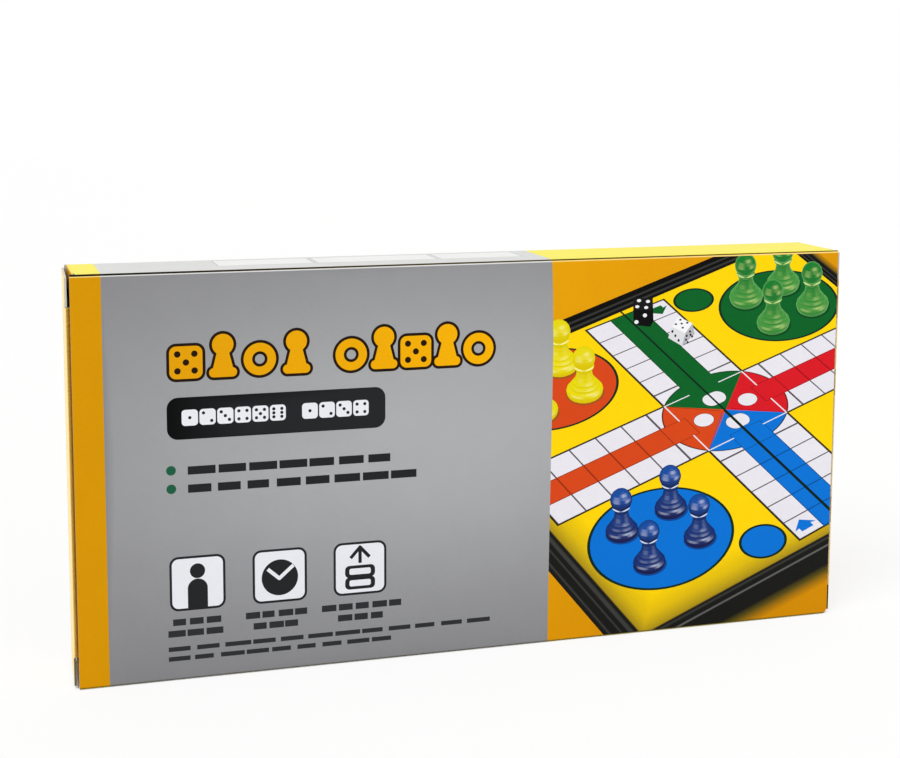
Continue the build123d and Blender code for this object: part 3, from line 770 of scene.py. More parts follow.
PAWN_COLLAR = (3.1, 9.75, 0.55)  # radius, height and thickness of the light on it
DULL_NECK = (5.2, 9.0, 0.3)  # heights between which the shines fade, and to what share
PAWN_DYES = {  # foot, head, underside, rim, shine and shadow of each colour, and the width of its pawns
    "blue": ("#1B2560", "#174C9E", "#1B1430", "#101838", "#D5DEF6", "#0B4594", 1.04),
    "green": ("#4C9A44", "#177A2E", "#256F2F", "#79B66C", "#CFE28C", "#07481D", 1.09),
    "yellow": ("#E9DA05", "#E6D60C", "#CDB203", "#D6C80E", "#FBF6A0", "#A9521B", 1.14),
}
DRAWN_PAWNS = [  # colour and foot, from the farthest to the nearest
    ("green", 107.5, 115.7), ("green", 93.8, 111.6), ("green", 118.8, 108.1), ("green", 104.2, 102.5),
    ("yellow", 27.4, 92.0), ("yellow", 20.5, 76.9), ("yellow", 36.2, 82.8),
    ("blue", 67.8, 41.0), ("blue", 50.2, 34.3), ("blue", 78.7, 30.2), ("blue", 60.35, 22.6),
]


def draw_pawn(drawing, dye, foot_x, foot_z):
    """A pawn drawn as it is seen from above: bands of a turned body, each shaded by its slope."""
    foot, head, under, rim, shine, shadow = (np.array(linear(c)) for c in PAWN_DYES[dye][:6])
    width = PAWN_DYES[dye][6]
    (dx, dz), reach, squeeze = PAWN_SHADOW
    drawing.disc((foot_x + dx, foot_z + dz), reach * width, tuple(shadow), squeeze, sides=28)
    rise = math.sqrt(1 - LOOK_DOWN**2)
    profile = [(r * width, h) for r, h in DRAWN_PAWN]
    for step in range(1, 10):
        turn = math.radians(-62 + 152 * step / 9)
        profile.append((DRAWN_HEAD * math.cos(turn), DRAWN_HEAD_Z + rise * DRAWN_HEAD * math.sin(turn)))
    sides, camera = 20, np.array([0.0, -rise, LOOK_DOWN])

    def at(radius, level, turn):
        x = foot_x + PAWN_LEAN * level + radius * math.cos(turn)
        return x, foot_z + level + LOOK_DOWN * radius * math.sin(turn)

    def lit(normal, height):
        body = foot + (head - foot) * min(1.0, height / DRAWN_HEAD_Z)
        colour = under + (body - under) * min(1.0, max(0.0, 0.62 + 0.6 * normal[2]))
        colour = rim + (colour - rim) * min(1.0, max(0.0, normal @ camera) / 0.55)
        glow = sum(gain * max(0.0, normal @ np.array(way)) ** power for way, gain, power in PAWN_SHINES)
        if DULL_NECK[0] < height < DULL_NECK[1]:
            glow *= DULL_NECK[2]
        return colour + (shine - colour) * min(1.0, 0.85 * glow)

    for (r0, h0), (r1, h1) in zip(profile, profile[1:]):
        slope = np.array([h1 - h0, r0 - r1])
        slope = slope / max(np.linalg.norm(slope), 1e-6)
        for side in range(sides):
            turns = [2 * math.pi * (side + k) / sides + math.pi / 2 for k in (0, 1)]
            corners = [(r0, h0, turns[0]), (r0, h0, turns[1]), (r1, h1, turns[1]), (r1, h1, turns[0])]
            ring = [at(*corner) for corner in corners]
            area = sum(p[0] * q[1] - q[0] * p[1] for p, q in zip(ring, [*ring[1:], ring[0]]))
            if area < 0.02:
                continue
            out = [np.array([slope[0] * math.cos(t), slope[0] * math.sin(t), slope[1]]) for *_, t in corners]
            drawing.blend(ring, [lit(n, h) for n, (_, h, _) in zip(out, corners)])
    # light catches the collar under the head at both sides
    collar, level, thick = PAWN_COLLAR
    for first, last in ((-176, -92), (-92, -10)):
        arc = [math.radians(t) for t in np.linspace(first, last, 9)]
        low = [at(collar * width, level, t) for t in arc]
        high = [(x, z + thick * math.sin(math.pi * k / 8)) for k, (x, z) in enumerate(low)]
        drawing.fill([*low, *reversed(high[1:-1])], tuple(shine))


DRAWN_DICE = [  # each face's corners and tone, and its pips' tone, half sizes and places
    ([(52.8, 114.3), (52.8, 110.5), (59.2, 109.9), (59.7, 114.0)], "#17181A", "#F0F0F2", (0.75, 0.5),
     [(54.8, 113.4), (58.0, 113.0), (54.2, 111.4), (57.4, 111.0)]),
    ([(52.8, 110.5), (53.0, 105.4), (59.0, 104.5), (59.2, 109.9)], "#0B0B0C", "#F0F0F2", (0.75, 0.65),
     [(57.0, 108.4), (54.0, 106.3)]),
    ([(59.2, 109.9), (59.0, 104.5), (60.1, 106.4), (59.7, 114.0)], "#050505", "#F0F0F2", (0, 0), []),
    ([(66.7, 104.2), (71.7, 101.8), (74.2, 105.0), (69.0, 107.5)], "#F2F2F4", "#1A1A1C", (0.45, 0.3),
     [(69.8, 106.4), (72.3, 105.3), (68.2, 105.0), (70.3, 105.1), (70.7, 103.7)]),
    ([(66.7, 104.2), (65.5, 100.5), (70.6, 97.5), (71.7, 101.8)], "#DCDCE0", "#1A1A1C", (0.38, 0.48),
     [(67.0, 102.6), (68.1, 101.1), (69.3, 99.5)]),
    ([(71.7, 101.8), (70.6, 97.5), (75.1, 101.4), (74.2, 105.0)], "#B4B4BA", "#1A1A1C", (0.36, 0.42),
     [(72.2, 100.9), (73.4, 102.3), (72.0, 99.6), (73.6, 101.2), (72.6, 98.7), (74.2, 100.6)]),
]

# corners of the sheet and of the frame round it, from the nearest one round by the right
SHEET_CORNERS = [(-7.44, -7.32), (7.53, -7.72), (7.53, 7.73), (-7.44, 7.11)]
FRAME_CORNERS = [(-8.33, -8.35), (8.07, -9.0), (8.07, 8.64), (-8.33, 8.03)]
FAR_STEPS = [
    (0.0, "black"), (0.15, "night"), (0.26, "ridge"), (0.36, "night"), (0.5, "night"), (0.59, "ridge"),
    (0.69, "night"),
]
NEAR_STEPS = [(-1.2, "sheet"), (-0.5, "shade"), (0.0, "deep"), (0.05, "black")]
FRAME_SIDES = [  # tones of each side's steps, over shares of the frame's width from the sheet outwards
    [*NEAR_STEPS, (0.1, "black"), (0.15, "ridge"), (0.22, "black"), (0.35, "black"), (0.4, "light"),
     (0.45, "black"), (1.0, "black"), (1.2, "olive"), (1.6, "ground")],
    [*FAR_STEPS, (0.9, "black"), (1.02, "olive"), (1.5, "ground")],
    [*FAR_STEPS, (1.0, "night")],
    [*NEAR_STEPS, (0.13, "black"), (0.2, "ridge"), (0.28, "ridge"), (0.33, "black"), (0.45, "black"),
     (0.5, "ridge"), (0.55, "black"), (0.76, "black"), (0.82, "ridge"), (0.88, "black"), (1.0, "black")],
]


def outwards(corner, share):
    """A place on a corner's diagonal, at a share of the way from the sheet to the frame's outside."""
    (a0, b0), (a1, b1) = SHEET_CORNERS[corner], FRAME_CORNERS[corner]
    return a0 + (a1 - a0) * share, b0 + (b1 - b0) * share


def draw_picture(drawing, inks, print_inks, left):
    """The opened board on its orange ground, with pawns and dice on it."""
    high, low = print_inks.ground_high, print_inks.ground_low
    ground = [(left, -2), (END_X, -2), (END_X, HEIGHT), (left, HEIGHT)]
    middle = tuple((h + l) / 2 for h, l in zip(high, low))
    drawing.blend(ground, [middle, low, middle, high])
    board = Drawing(drawing.shapes, lambda a, b: drawing.through(*seen(a, b)))
    sheet, black = inks.sheet, inks.frame
    tones = {
        "ground": low, "sheet": sheet, "shade": (*scaled(sheet[:2], 0.76), 0.004),
        "deep": (*scaled(sheet[:2], 0.42), 0.01), "black": black, "night": scaled(black, 0.3),
        "ridge": inks.frame_ridge, "light": inks.frame_light, "olive": linear("#5A4E16"),
    }
    board.fill([outwards(corner, 1.0) for corner in range(4)], black)
    board.fill([outwards(corner, 0.0) for corner in range(4)], sheet)
    for side, steps in enumerate(FRAME_SIDES):
        for (near, inner), (far, outer) in zip(steps, steps[1:]):
            ends = (side, near), ((side + 1) % 4, near), ((side + 1) % 4, far), (side, far)
            board.blend([outwards(*end) for end in ends], [tones[inner]] * 2 + [tones[outer]] * 2)
    draw_ludo(board, inks)
    # the hinge line lies between the halves, so it isn't parted by the gap that it fills
    hinge = Drawing(drawing.shapes, lambda a, b: drawing.through(*seen(a, b, 0.0)))
    for span, width in (((SHEET_CORNERS[0][1] - 0.2, 0), 0.11), ((0, SHEET_CORNERS[2][1] - 0.25), 0.075)):
        hinge.line([(-0.045, span[0]), (-0.055, span[1])], width, linear("#0C221C"))
    for ring, tone, pip, (wide, tall), pips in DRAWN_DICE:
        drawing.fill(ring, linear(tone))
        for place in pips:
            drawing.disc(place, wide, linear(pip), squeeze=tall / wide, sides=14)
    for dye, x, z in DRAWN_PAWNS:
        draw_pawn(drawing, dye, x, z)


# ---- the title field ---------------------------------------------------------------------------
PLATE = ((-100.1, 76.2), (-31.4, 89.3))
PLATE_SHEEN = (-99.0, -74.0)  # painted reflection: where its black goes from deep to plain, lighter to the right
PLATE_DICE = [(-95.6, 6), (-58.2, 4)]  # left end of each row of die faces, and their count
DIE_FACE, DIE_PITCH, DIE_FOOT_Z = 5.0, 5.45, 80.4
PIPS = {  # places of a die's pips, in quarters of its face
    1: [(0, 0)],
    2: [(-1, 1), (1, -1)],
    3: [(-1, 1), (0, 0), (1, -1)],
    4: [(-1, -1), (1, -1), (-1, 1), (1, 1)],
    5: [(-1, -1), (1, -1), (0, 0), (-1, 1), (1, 1)],
    6: [(-1, -1), (1, -1), (-1, 0), (1, 0), (-1, 1), (1, 1)],
}
BULLETS = [(-99.1, 66.7), (-99.1, 60.9)]
SQUARES = [(-91.5, 30.75), (-65.7, 30.75), (-39.8, 30.9)]
SQUARE_SIZE = 17.3
BARS = [  # lower left corner, reach, height and pitch of each line of print
    ((-94.0, 65.1), 66.5, 2.6, 9.5), ((-94.0, 59.4), 73.0, 2.6, 9.2),
    ((-99.3, 17.5), 15.6, 2.1, 5.2), ((-100.8, 13.9), 17.6, 2.1, 5.9),
    ((-76.6, 17.5), 20.6, 2.1, 5.2), ((-74.2, 13.9), 15.0, 2.1, 5.0),
    ((-52.3, 17.5), 27.4, 2.1, 5.5), ((-47.1, 13.9), 16.2, 2.1, 5.4),
    ((-100.8, 9.3), 106.0, 1.45, 8.8), ((-100.8, 6.2), 72.5, 1.45, 8.1),
]
TOKENS = [  # kind and middle of each token, from left to right
    ("die", -94.0), ("pawn", -82.7), ("ring", -71.3), ("pawn", -59.8),
    ("ring", -42.4), ("pawn", -31.8), ("die", -21.4), ("pawn", -11.0), ("ring", -0.6),
]
TOKEN_FOOT_Z, TOKEN_TOP_Z, TOKEN_EDGE = 94.1, 106.0, 0.9


def draw_token(drawing, kind, x, fill, edge, paper):
    """One token of the row: a die, a pawn or a ring, outlined all round."""
    low, high = TOKEN_FOOT_Z + TOKEN_EDGE, TOKEN_TOP_Z - TOKEN_EDGE
    middle, half = (low + high) / 2, (high - low) / 2
    for grow, colour in ((TOKEN_EDGE, edge), (0.0, fill)):
        if kind == "die":
            drawing.block((x, middle), half + grow, half + grow, colour, 2.0 + grow)
        elif kind == "ring":
            drawing.disc((x, middle), half + grow, colour)
        else:
            drawing.block((x, low + 1.45), 4.3 + grow, 1.45 + grow, colour, 1.4 + grow)
            foot, neck = (3.3 + grow, low + 2), (1.5 + grow, high - 1)
            ring = [(x + way * wide, z) for way, (wide, z) in ((-1, foot), (1, foot), (1, neck), (-1, neck))]
            drawing.fill(ring, colour)
            drawing.disc((x, high), 3.3 + grow, colour)
    if kind == "die":
        for dx, dz in PIPS[5]:
            drawing.disc((x + 2.6 * dx, middle + 2.6 * dz), 1.0, edge, sides=18)
    elif kind == "ring":
        drawing.disc((x, middle), 2.4, edge)
        drawing.disc((x, middle), 1.5, paper)


def draw_plate(drawing, inks):
    """The black plate under the tokens, with two rows of die faces."""
    black, deep = inks.black, inks.black_deep

    # painted reflection: the plate's black lightens from its deep left-hand end
    def fade(x, _):
        share = min(max((x - PLATE_SHEEN[0]) / (PLATE_SHEEN[1] - PLATE_SHEEN[0]), 0.0), 1.0)
        return tuple(d + (b - d) * share for b, d in zip(black, deep))

    drawing.box(*PLATE, fade, 3.4, 8)
    face = rounded_box((0, 0), (DIE_FACE, DIE_FACE), 1.1, 4)
    places = [(x + DIE_PITCH * k, DIE_FOOT_Z, 0) for x, count in PLATE_DICE for k in range(count)]
    repeat_shape(drawing, face, places, inks.white)
    for number, (x, z, _) in enumerate(places):
        for pip in PIPS[number % 6 + 1]:
            dx, dz = (DIE_FACE * (0.5 + 0.25 * at) for at in pip)
            drawing.disc((x + dx, z + dz), 0.52, black, sides=12)


def draw_title_field(drawing, inks, field):
    """Tokens, plate, bars and pictograms on the grey field; none of them is a word."""
    black, white = inks.black, inks.white
    ends = [(TOKENS[0][1], 0), (TOKENS[-1][1], 0), (TOKENS[-1][1], 1)]
    fill = gradient(ends, [inks.token_deep, inks.token, inks.token])
    for kind, x in TOKENS:
        draw_token(drawing, kind, x, fill, inks.token_edge, field)
    draw_plate(drawing, inks)
    for place in BULLETS:
        drawing.disc(place, 1.5, inks.bullet, sides=24)
    for number, bar in enumerate(BARS):
        print_bars(drawing, *bar, black if number < 2 else scaled(black, 1.6), number)
    half = SQUARE_SIZE / 2
    for place in SQUARES:
        drawing.block(place, half, half, black, 2.7)
        drawing.block(place, half - 0.75, half - 0.75, white, 2.0)
    (px, pz), (cx, cz), (ax, az) = SQUARES
    # a head and shoulders
    drawing.disc((px, pz + 3.8), 2.35, black)
    drawing.disc((px, pz - 1.8), 3.1, black)
    drawing.box((px - 3.1, pz - half + 0.4), (px + 3.1, pz - 1.8), black)
    # a dial with its hands
    drawing.disc((cx, cz - 0.6), 5.8, black, sides=56)
    drawing.line([(cx - 3.7, cz + 2.2), (cx - 0.2, cz - 0.9), (cx + 4.2, cz + 2.9)], 1.15, white, 0.2)
    # an arrow over two slabs
    drawing.line([(ax, az + 1.7), (ax, az + 6.6)], 1.1, black)
    drawing.line([(ax - 2.9, az + 3.7), (ax, az + 6.9), (ax + 2.9, az + 3.7)], 1.1, black, 0.3)
    for z in (az - 1.0, az - 4.8):
        drawing.block((ax, z), 4.9, 2.0, black, 1.4)
        drawing.block((ax, z), 3.5, 1.0, white, 0.6)


# ---- operators -----------------------------------------------------------------------------------
class PanelSkin:
    """Where a printed skin lies on a panel of the sleeve: flat, and round half of the fold at each end."""

    def __init__(self, origin, across, normal, span):
        self.origin, self.across, self.normal = (Vector((0, *v)) for v in (origin, across, normal))
        self.span = span

    def __call__(self, x, t):
        turn = (min(0.0, t) + max(0.0, t - self.span)) / FOLD_RADIUS
        normal = self.normal * math.cos(turn) + self.across * math.sin(turn)
        end = self.origin + self.across * min(max(t, 0.0), self.span)
        point = end - self.normal * FOLD_RADIUS + normal * (FOLD_RADIUS + INK)
        return (x, point.y, point.z), normal


HALF_FOLD = FOLD_RADIUS * math.pi / 4
NOTCH = 0.31  # how far the top and base reach onto a fold before their ends step in


def foot_x(arc):
    """The cut end of the front panel's foot, at an arc's length below the flat panel."""
    height = FOLD_RADIUS * (1 - math.sin(arc / FOLD_RADIUS))
    return FRONT_REACH - (FOOT_CUT_Z - height) * FOOT_CUT[0] / FOOT_CUT[1]


def marks(sizes):
    """Where the band ends and the picture starts, and half of the width of the fold's painted shade."""
    return -END_X + sizes.band_width / MM, END_X - sizes.picture_reach / MM, sizes.fold_shade_width / MM / 2


FIELD_SHEEN = (-11.0, 72.0)  # middle of the field's painted sheen, its lightest place
FIELD_SPREAD = (133.0, 58.0)  # how far from it the grey deepens, along and up
HIGHLIT_WIDTH = 0.3  # width of the painted highlight strip that shows under the fold's painted shade
FOOT_SHADE_Z = -0.4  # level, from the end of the flat panel, under which its lower fold is darkened by painted shade
LABELS = [(-82.0, -51.8), (-50.4, -11.4), (-9.8, 17.6)]  # ends of the bare label boxes on top
LABEL_DEPTH, LABEL_LINE, LABEL_RULE = (9.35, 23.0), 0.25, "#8F9092"
# painted shade: at its foot each end flap's cut edge is darkened, as it looks in the shade of the slot
SLOT_SHADE = {"left": "#6A6250", "right": "#241C12"}
# the field's edge over the picture, as reach and height: not quite straight
FIELD_EDGE = [
    (0.05, -5.0), (0.1, 15.0), (0.45, 50.0), (0.8, 80.0), (0.95, 100.0), (0.6, 118.0), (0.3, 126.0),
    (0.2, 133.0),
]


def fold_guides(low, high, reach):
    """Lines along a folded strip, so that it bends in even steps."""
    return [((-reach, t), (reach, t)) for t in np.linspace(low, high, 6)]


class CARTON_OT_board(bpy.types.Operator):
    """Gives the carton's solids the look of their board"""

    bl_idname = "ludo_carton.board"
    bl_label = "Carton board"

    def execute(self, context):
        flaps = ("end_flap", "tuck_tongue", "dust_flap_top", "dust_flap_bottom")
        for name in ("carton_sleeve", *(f"{flap}_{side}" for side in SIDES for flap in flaps)):
            dress(name, "uncoated_greyboard")
        return {"FINISHED"}


def dress(node, look):
    """Puts a finish on all slots of a CAD node."""
    shown = frame["nodes"][node]
    if not shown.material_slots:
        shown.data.materials.append(finish(look))
    for slot in shown.material_slots:
        slot.material = finish(look)


class CARTON_OT_front_print(bpy.types.Operator):
    """Prints the front panel: the title field and the picture of the opened board"""

    bl_idname = "ludo_carton.front_print"
    bl_label = "Front print"

    def execute(self, context):
        inks = plain(context.scene.carton_inks)
        band_x, picture_x, half_fold_shade = marks(context.scene.carton_sizes)
        span = HEIGHT - 2 * FOLD_RADIUS
        skin = PanelSkin((FRONT_Y, FOLD_RADIUS), (0, 1), (-1, 0), span)
        # the drawing is in heights over the base; the skin runs from half way round the lower fold
        drawing = Drawing(through=lambda x, z: (x, z - FOLD_RADIUS))
        dark, light = np.array(inks.field), np.array(inks.field_sheen)

        def field(x, t):
            # painted sheen: lightest a little above the middle, where the silver ink would catch the light
            far = ((x - FIELD_SHEEN[0]) / FIELD_SPREAD[0]) ** 2
            far += ((t + FOLD_RADIUS - FIELD_SHEEN[1]) / FIELD_SPREAD[1]) ** 2
            return tuple(dark + (light - dark) * math.exp(-far))

        draw_picture(drawing, plain(context.scene.board_inks), inks, picture_x)
        clip_left(drawing.shapes, picture_x)
        edge = [(picture_x + reach, z) for reach, z in FIELD_EDGE]
        drawing.fill([(band_x, edge[0][1]), *edge, (band_x, edge[-1][1])], field)
        drawing.box((-END_X, edge[0][1]), (band_x, edge[-1][1]), inks.band)
        draw_title_field(drawing, inks, field)
        top, low = span + HALF_FOLD, -HALF_FOLD
        # painted highlight: a pale strip just under the fold, where its rounding catches the light
        bounds = (-END_X, band_x, picture_x, END_X)
        tones = (inks.highlit_yellow, inks.highlit, inks.highlit_yellow)
        for x0, x1, tone in zip(bounds, bounds[1:], tones):
            drawing.shapes.append((rounded_box((x0, top - half_fold_shade - HIGHLIT_WIDTH), (x1, top)), tone))
        # painted shade: a dark line in the long fold
        fold_shade_line(drawing, inks, top + 1, top - half_fold_shade, top - 0.6 * half_fold_shade)
        # painted shade: the lower fold is darkened in the olive of the fold's shade
        foot = rounded_box((-END_X, low - 1), (END_X, FOOT_SHADE_Z))
        drawing.shapes.append((foot, inks.fold_shade_olive))
        outline = [
            (-FRONT_REACH, low), (foot_x(HALF_FOLD), low), (foot_x(0), 0),
            (FRONT_REACH, FOOT_CUT_Z - FOLD_RADIUS), (FRONT_REACH, top), (-FRONT_REACH, top),
        ]
        guides = grid((-FRONT_REACH, 0), (FRONT_REACH, span), 8.0)
        guides += fold_guides(low, 0, FRONT_REACH) + fold_guides(span, top, FRONT_REACH)
        printed("print_front", outline, drawing.shapes, skin, "carton", guides)
        return {"FINISHED"}


def mirrored(half):
    """A ring from its right-hand half, which runs from front to back."""
    ring = [*half, *((-x, y) for x, y in reversed(half))]
    return [ring[-1], *ring[:-1]]


def fold_shade_line(drawing, inks, far, left, right):
    """The painted shade along the long fold: a dark line from a level past it to its edge at the left and at
    the right.
    """
    ring = [(-END_X, left), (END_X, right), (END_X, far), (-END_X, far)]
    if far < left:
        ring = [ring[3], ring[2], ring[1], ring[0]]
    drawing.shapes.append((ring, gradient(ring, [inks.fold_shade, inks.fold_shade_olive, inks.fold_shade_olive, inks.fold_shade])))


def clip_left(shapes, left):
    """Cuts the shapes at a left edge, so that none is printed beyond it."""
    for number, (ring, colour) in enumerate(shapes):
        if min(p[0] for p in ring) >= left:
            continue
        cut = []
        for p, q in zip(ring, [*ring[1:], ring[0]]):
            if p[0] >= left:
                cut.append(p)
            if (p[0] - left) * (q[0] - left) < 0:
                share = (left - p[0]) / (q[0] - p[0])
                cut.append((left, p[1] + share * (q[1] - p[1])))
        shapes[number] = (cut if len(cut) > 2 else None, colour)
    shapes[:] = [s for s in shapes if s[0]]


class CARTON_OT_other_prints(bpy.types.Operator):
    """Prints the top, back and base in the same bands as the front"""

    bl_idname = "ludo_carton.other_prints"
    bl_label = "Top, back and base prints"

    def execute(self, context):
        inks = plain(context.scene.carton_inks)
        band_x, picture_x, half_fold_shade = marks(context.scene.carton_sizes)
        span = BACK_Y - FRONT_Y - 2 * FOLD_RADIUS
        rise, run = HEIGHT - FOLD_RADIUS - RAW_EDGE_Z, span - BOARD
        # the top and base take the pale inks of the top's painted sheen, the back the grey of the field's
        # painted sheen
        caps, walls = (inks.cap_sheen_yellow, inks.cap_sheen_grey), (inks.band, inks.field_sheen)
        far = run + 2 * HALF_FOLD
        panels = {  # skin, length, inks, guides' spans and outline
            "top": (
                PanelSkin((FRONT_Y + FOLD_RADIUS, HEIGHT), (1, 0), (0, 1), span), span,
                (*caps, inks.cap_sheen_yellow), [(-HALF_FOLD, 0), (span, span + HALF_FOLD)],
                mirrored([
                    (FRONT_REACH, -HALF_FOLD), (FRONT_REACH, -NOTCH), (CAP_REACH, -NOTCH),
                    (CAP_REACH, span + NOTCH), (BACK_REACH, span + NOTCH), (BACK_REACH, span + HALF_FOLD),
                ]),
            ),
            "back": (
                PanelSkin((BACK_Y, RAW_EDGE_Z), (0, 1), (1, 0), rise), rise, (*walls, inks.ground_high),
                [(rise, rise + HALF_FOLD)], rounded_box((-BACK_REACH, 0), (BACK_REACH, rise + HALF_FOLD)),
            ),
            "base": (
                PanelSkin((FRONT_Y + FOLD_RADIUS, 0), (1, 0), (0, -1), run), run,
                (*caps, inks.cap_sheen_yellow), [(-HALF_FOLD, 0), (run, far)],
                [
                    (-FRONT_REACH, -HALF_FOLD), (foot_x(HALF_FOLD), -HALF_FOLD),
                    (foot_x(2 * HALF_FOLD - NOTCH), -NOTCH), (CAP_REACH, -NOTCH), (CAP_REACH, far),
                    (-CAP_REACH, far), (-CAP_REACH, -NOTCH), (-FRONT_REACH, -NOTCH),
                ],
            ),
        }
        for name, (skin, reach, tones, folds, outline) in panels.items():
            drawing = Drawing()
            for (x0, x1), tone in zip(((-END_X, band_x), (band_x, picture_x), (picture_x, END_X)), tones):
                drawing.box((x0, -3), (x1, reach + 3), tone)
            if name == "top":
                near, deep = LABEL_DEPTH
                for x0, x1 in LABELS:
                    drawing.box((x0 - LABEL_LINE, near), (x1 + LABEL_LINE, deep), linear(LABEL_RULE))
                    drawing.box((x0, near + LABEL_LINE), (x1, deep - LABEL_LINE), inks.label)
                # the fold's painted shade, on the top's side
                fold_shade_line(drawing, inks, -3, -HALF_FOLD + half_fold_shade, -HALF_FOLD + 0.5 * half_fold_shade)
            guides = [line for ends in folds for line in fold_guides(*ends, END_X)]
            printed(f"print_{name}", outline, drawing.shapes, skin, "carton", guides)
        return {"FINISHED"}


class CARTON_OT_end_prints(bpy.types.Operator):
    """Prints the outside of the end flaps, of their tongues and of the dust flaps"""

    bl_idname = "ludo_carton.end_prints"
    bl_label = "End prints"

    def execute(self, context):
        inks = plain(context.scene.carton_inks)
        middle, low, high = HEIGHT / 2, FLAP_TRIM, HEIGHT - FLAP_TRIM
        for side, way in SIDES.items():
            outline = [
                (FLAP_AXIS_Y, low), (FLAP_AXIS_Y, high), (SHOULDER_Y, high), (SHOULDER_Y, high - SLIT),
                (FLAP_EDGE_Y, high - SLIT), (FLAP_EDGE_Y, low + SLIT), (SHOULDER_Y, low + SLIT),
                (SHOULDER_Y, low),
            ]

            def on_flap(y, z):
                x, y = sprung(END_X + INK, y)
                return (way * x, y, z), (way * math.cos(SPRING), math.sin(SPRING), 0)

            flap = f"end_flap_{side}"
            # the flap's outside, in the pale yellow of its painted sheen
            printed(f"print_end_{side}", outline, [(outline, inks.end_yellow)], on_flap, flap)

            # painted shade: the flap's cut edge at its foot, darkened as it looks in the slot
            def on_cut_edge(x, z):
                x, y = sprung(x, SHOULDER_Y - INK)
                return (way * x, y, z), (way * math.sin(SPRING), -math.cos(SPRING), 0)

            edge = rounded_box((END_X - BOARD, low), (END_X, low + SLIT))
            slot_shade_ink = [(edge, linear(SLOT_SHADE[side]))]
            printed(f"soiled_edge_{side}", edge, slot_shade_ink, on_cut_edge, flap)

            lean, out = TONGUE_LEAN, BOARD / 2 + INK
            neck, wide = middle - NECK_TRIM, middle - TONGUE_TRIM
            half = [(0, neck), (TONGUE_SHOULDER, neck), (TONGUE_SHOULDER, wide)]
            for turn in np.linspace(0, math.pi / 2, 9):
                u, v = (TONGUE_CORNER * (1 - part(turn)) for part in (math.sin, math.cos))
                half.append((TONGUE_LENGTH - u, wide - v))
            outline = [*half, *((u, -v) for u, v in reversed(half))]

            def on_tongue(u, v):
                x = FLAP_AXIS_X - u * math.cos(lean) - out * math.sin(lean)
                x, y = sprung(x, TONGUE_AXIS_Y + u * math.sin(lean) - out * math.cos(lean))
                return (way * x, y, middle + v), (-way * math.sin(lean - SPRING), -math.cos(lean - SPRING), 0)

            tongue = f"tuck_tongue_{side}"
            printed(f"print_tongue_{side}", outline, [(outline, inks.band)], on_tongue, tongue)

            near, far = DUST_REACH_Y
            outline = [*((u, near + v) for u, v in DUST_FRONT), *((u, far - v) for u, v in DUST_BACK)]
            for name, (level, up) in LEVELS.items():

                def on_dust(u, y):
                    return (way * (DUST_AXIS_X + BOARD / 2 + INK), y, level - up * u), (way, 0, 0)

                dust = f"dust_flap_{name}_{side}"
                printed(f"print_{dust}", outline, [(outline, inks.band)], on_dust, dust)
        return {"FINISHED"}


def crease(name, path, ends, along, tones):
    """A strip of board bent round a crease: a path across it, swept along it.

    The path's first and last points are its straight leads, and the arc between them bends. Its ink
    changes along the path from the first tone to the last.
    """
    count = len(path)
    rings = [[Vector(p) + Vector(along) * level for p in path] for level in np.linspace(*ends, 25)]
    mesh = new_mesh(name, *lofted(rings, closed=False))
    middle = sum((Vector(p) for p in path), Vector()) / count
    bend = (Vector(path[count // 2]) - middle).normalized()
    half = mesh.polygons[(count - 1) // 2]
    if half.normal.dot(bend) < 0:
        mesh.flip_normals()
    colours = mesh.color_attributes.new("ink", "FLOAT_COLOR", "CORNER")
    for loop, corner in zip(mesh.loops, colours.data):
        share = loop.vertex_index % count / (count - 1)
        corner.color = (*(a + (b - a) * share for a, b in zip(*tones)), 1)
    for polygon in mesh.polygons:
        polygon.use_smooth = True
    made = piece(name, mesh, "printed_carton_board", None)
    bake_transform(made)


def bend_path(axis, first, last, lead_in, lead_out):
    """The outside of a fold in a plane: a straight lead, an arc about the axis, and a straight lead."""
    radius, way = BOARD / 2 + INK, math.copysign(1, last - first)
    turns = np.linspace(first, last, 11)
    path = [(axis[0] + radius * math.cos(t), axis[1] + radius * math.sin(t)) for t in turns]
    for turn, step, at in ((first, -way * lead_in, 0), (last, way * lead_out, -1)):
        end = (path[at][0] - math.sin(turn) * step, path[at][1] + math.cos(turn) * step)
        path.insert(len(path) if at else 0, end)
    return path


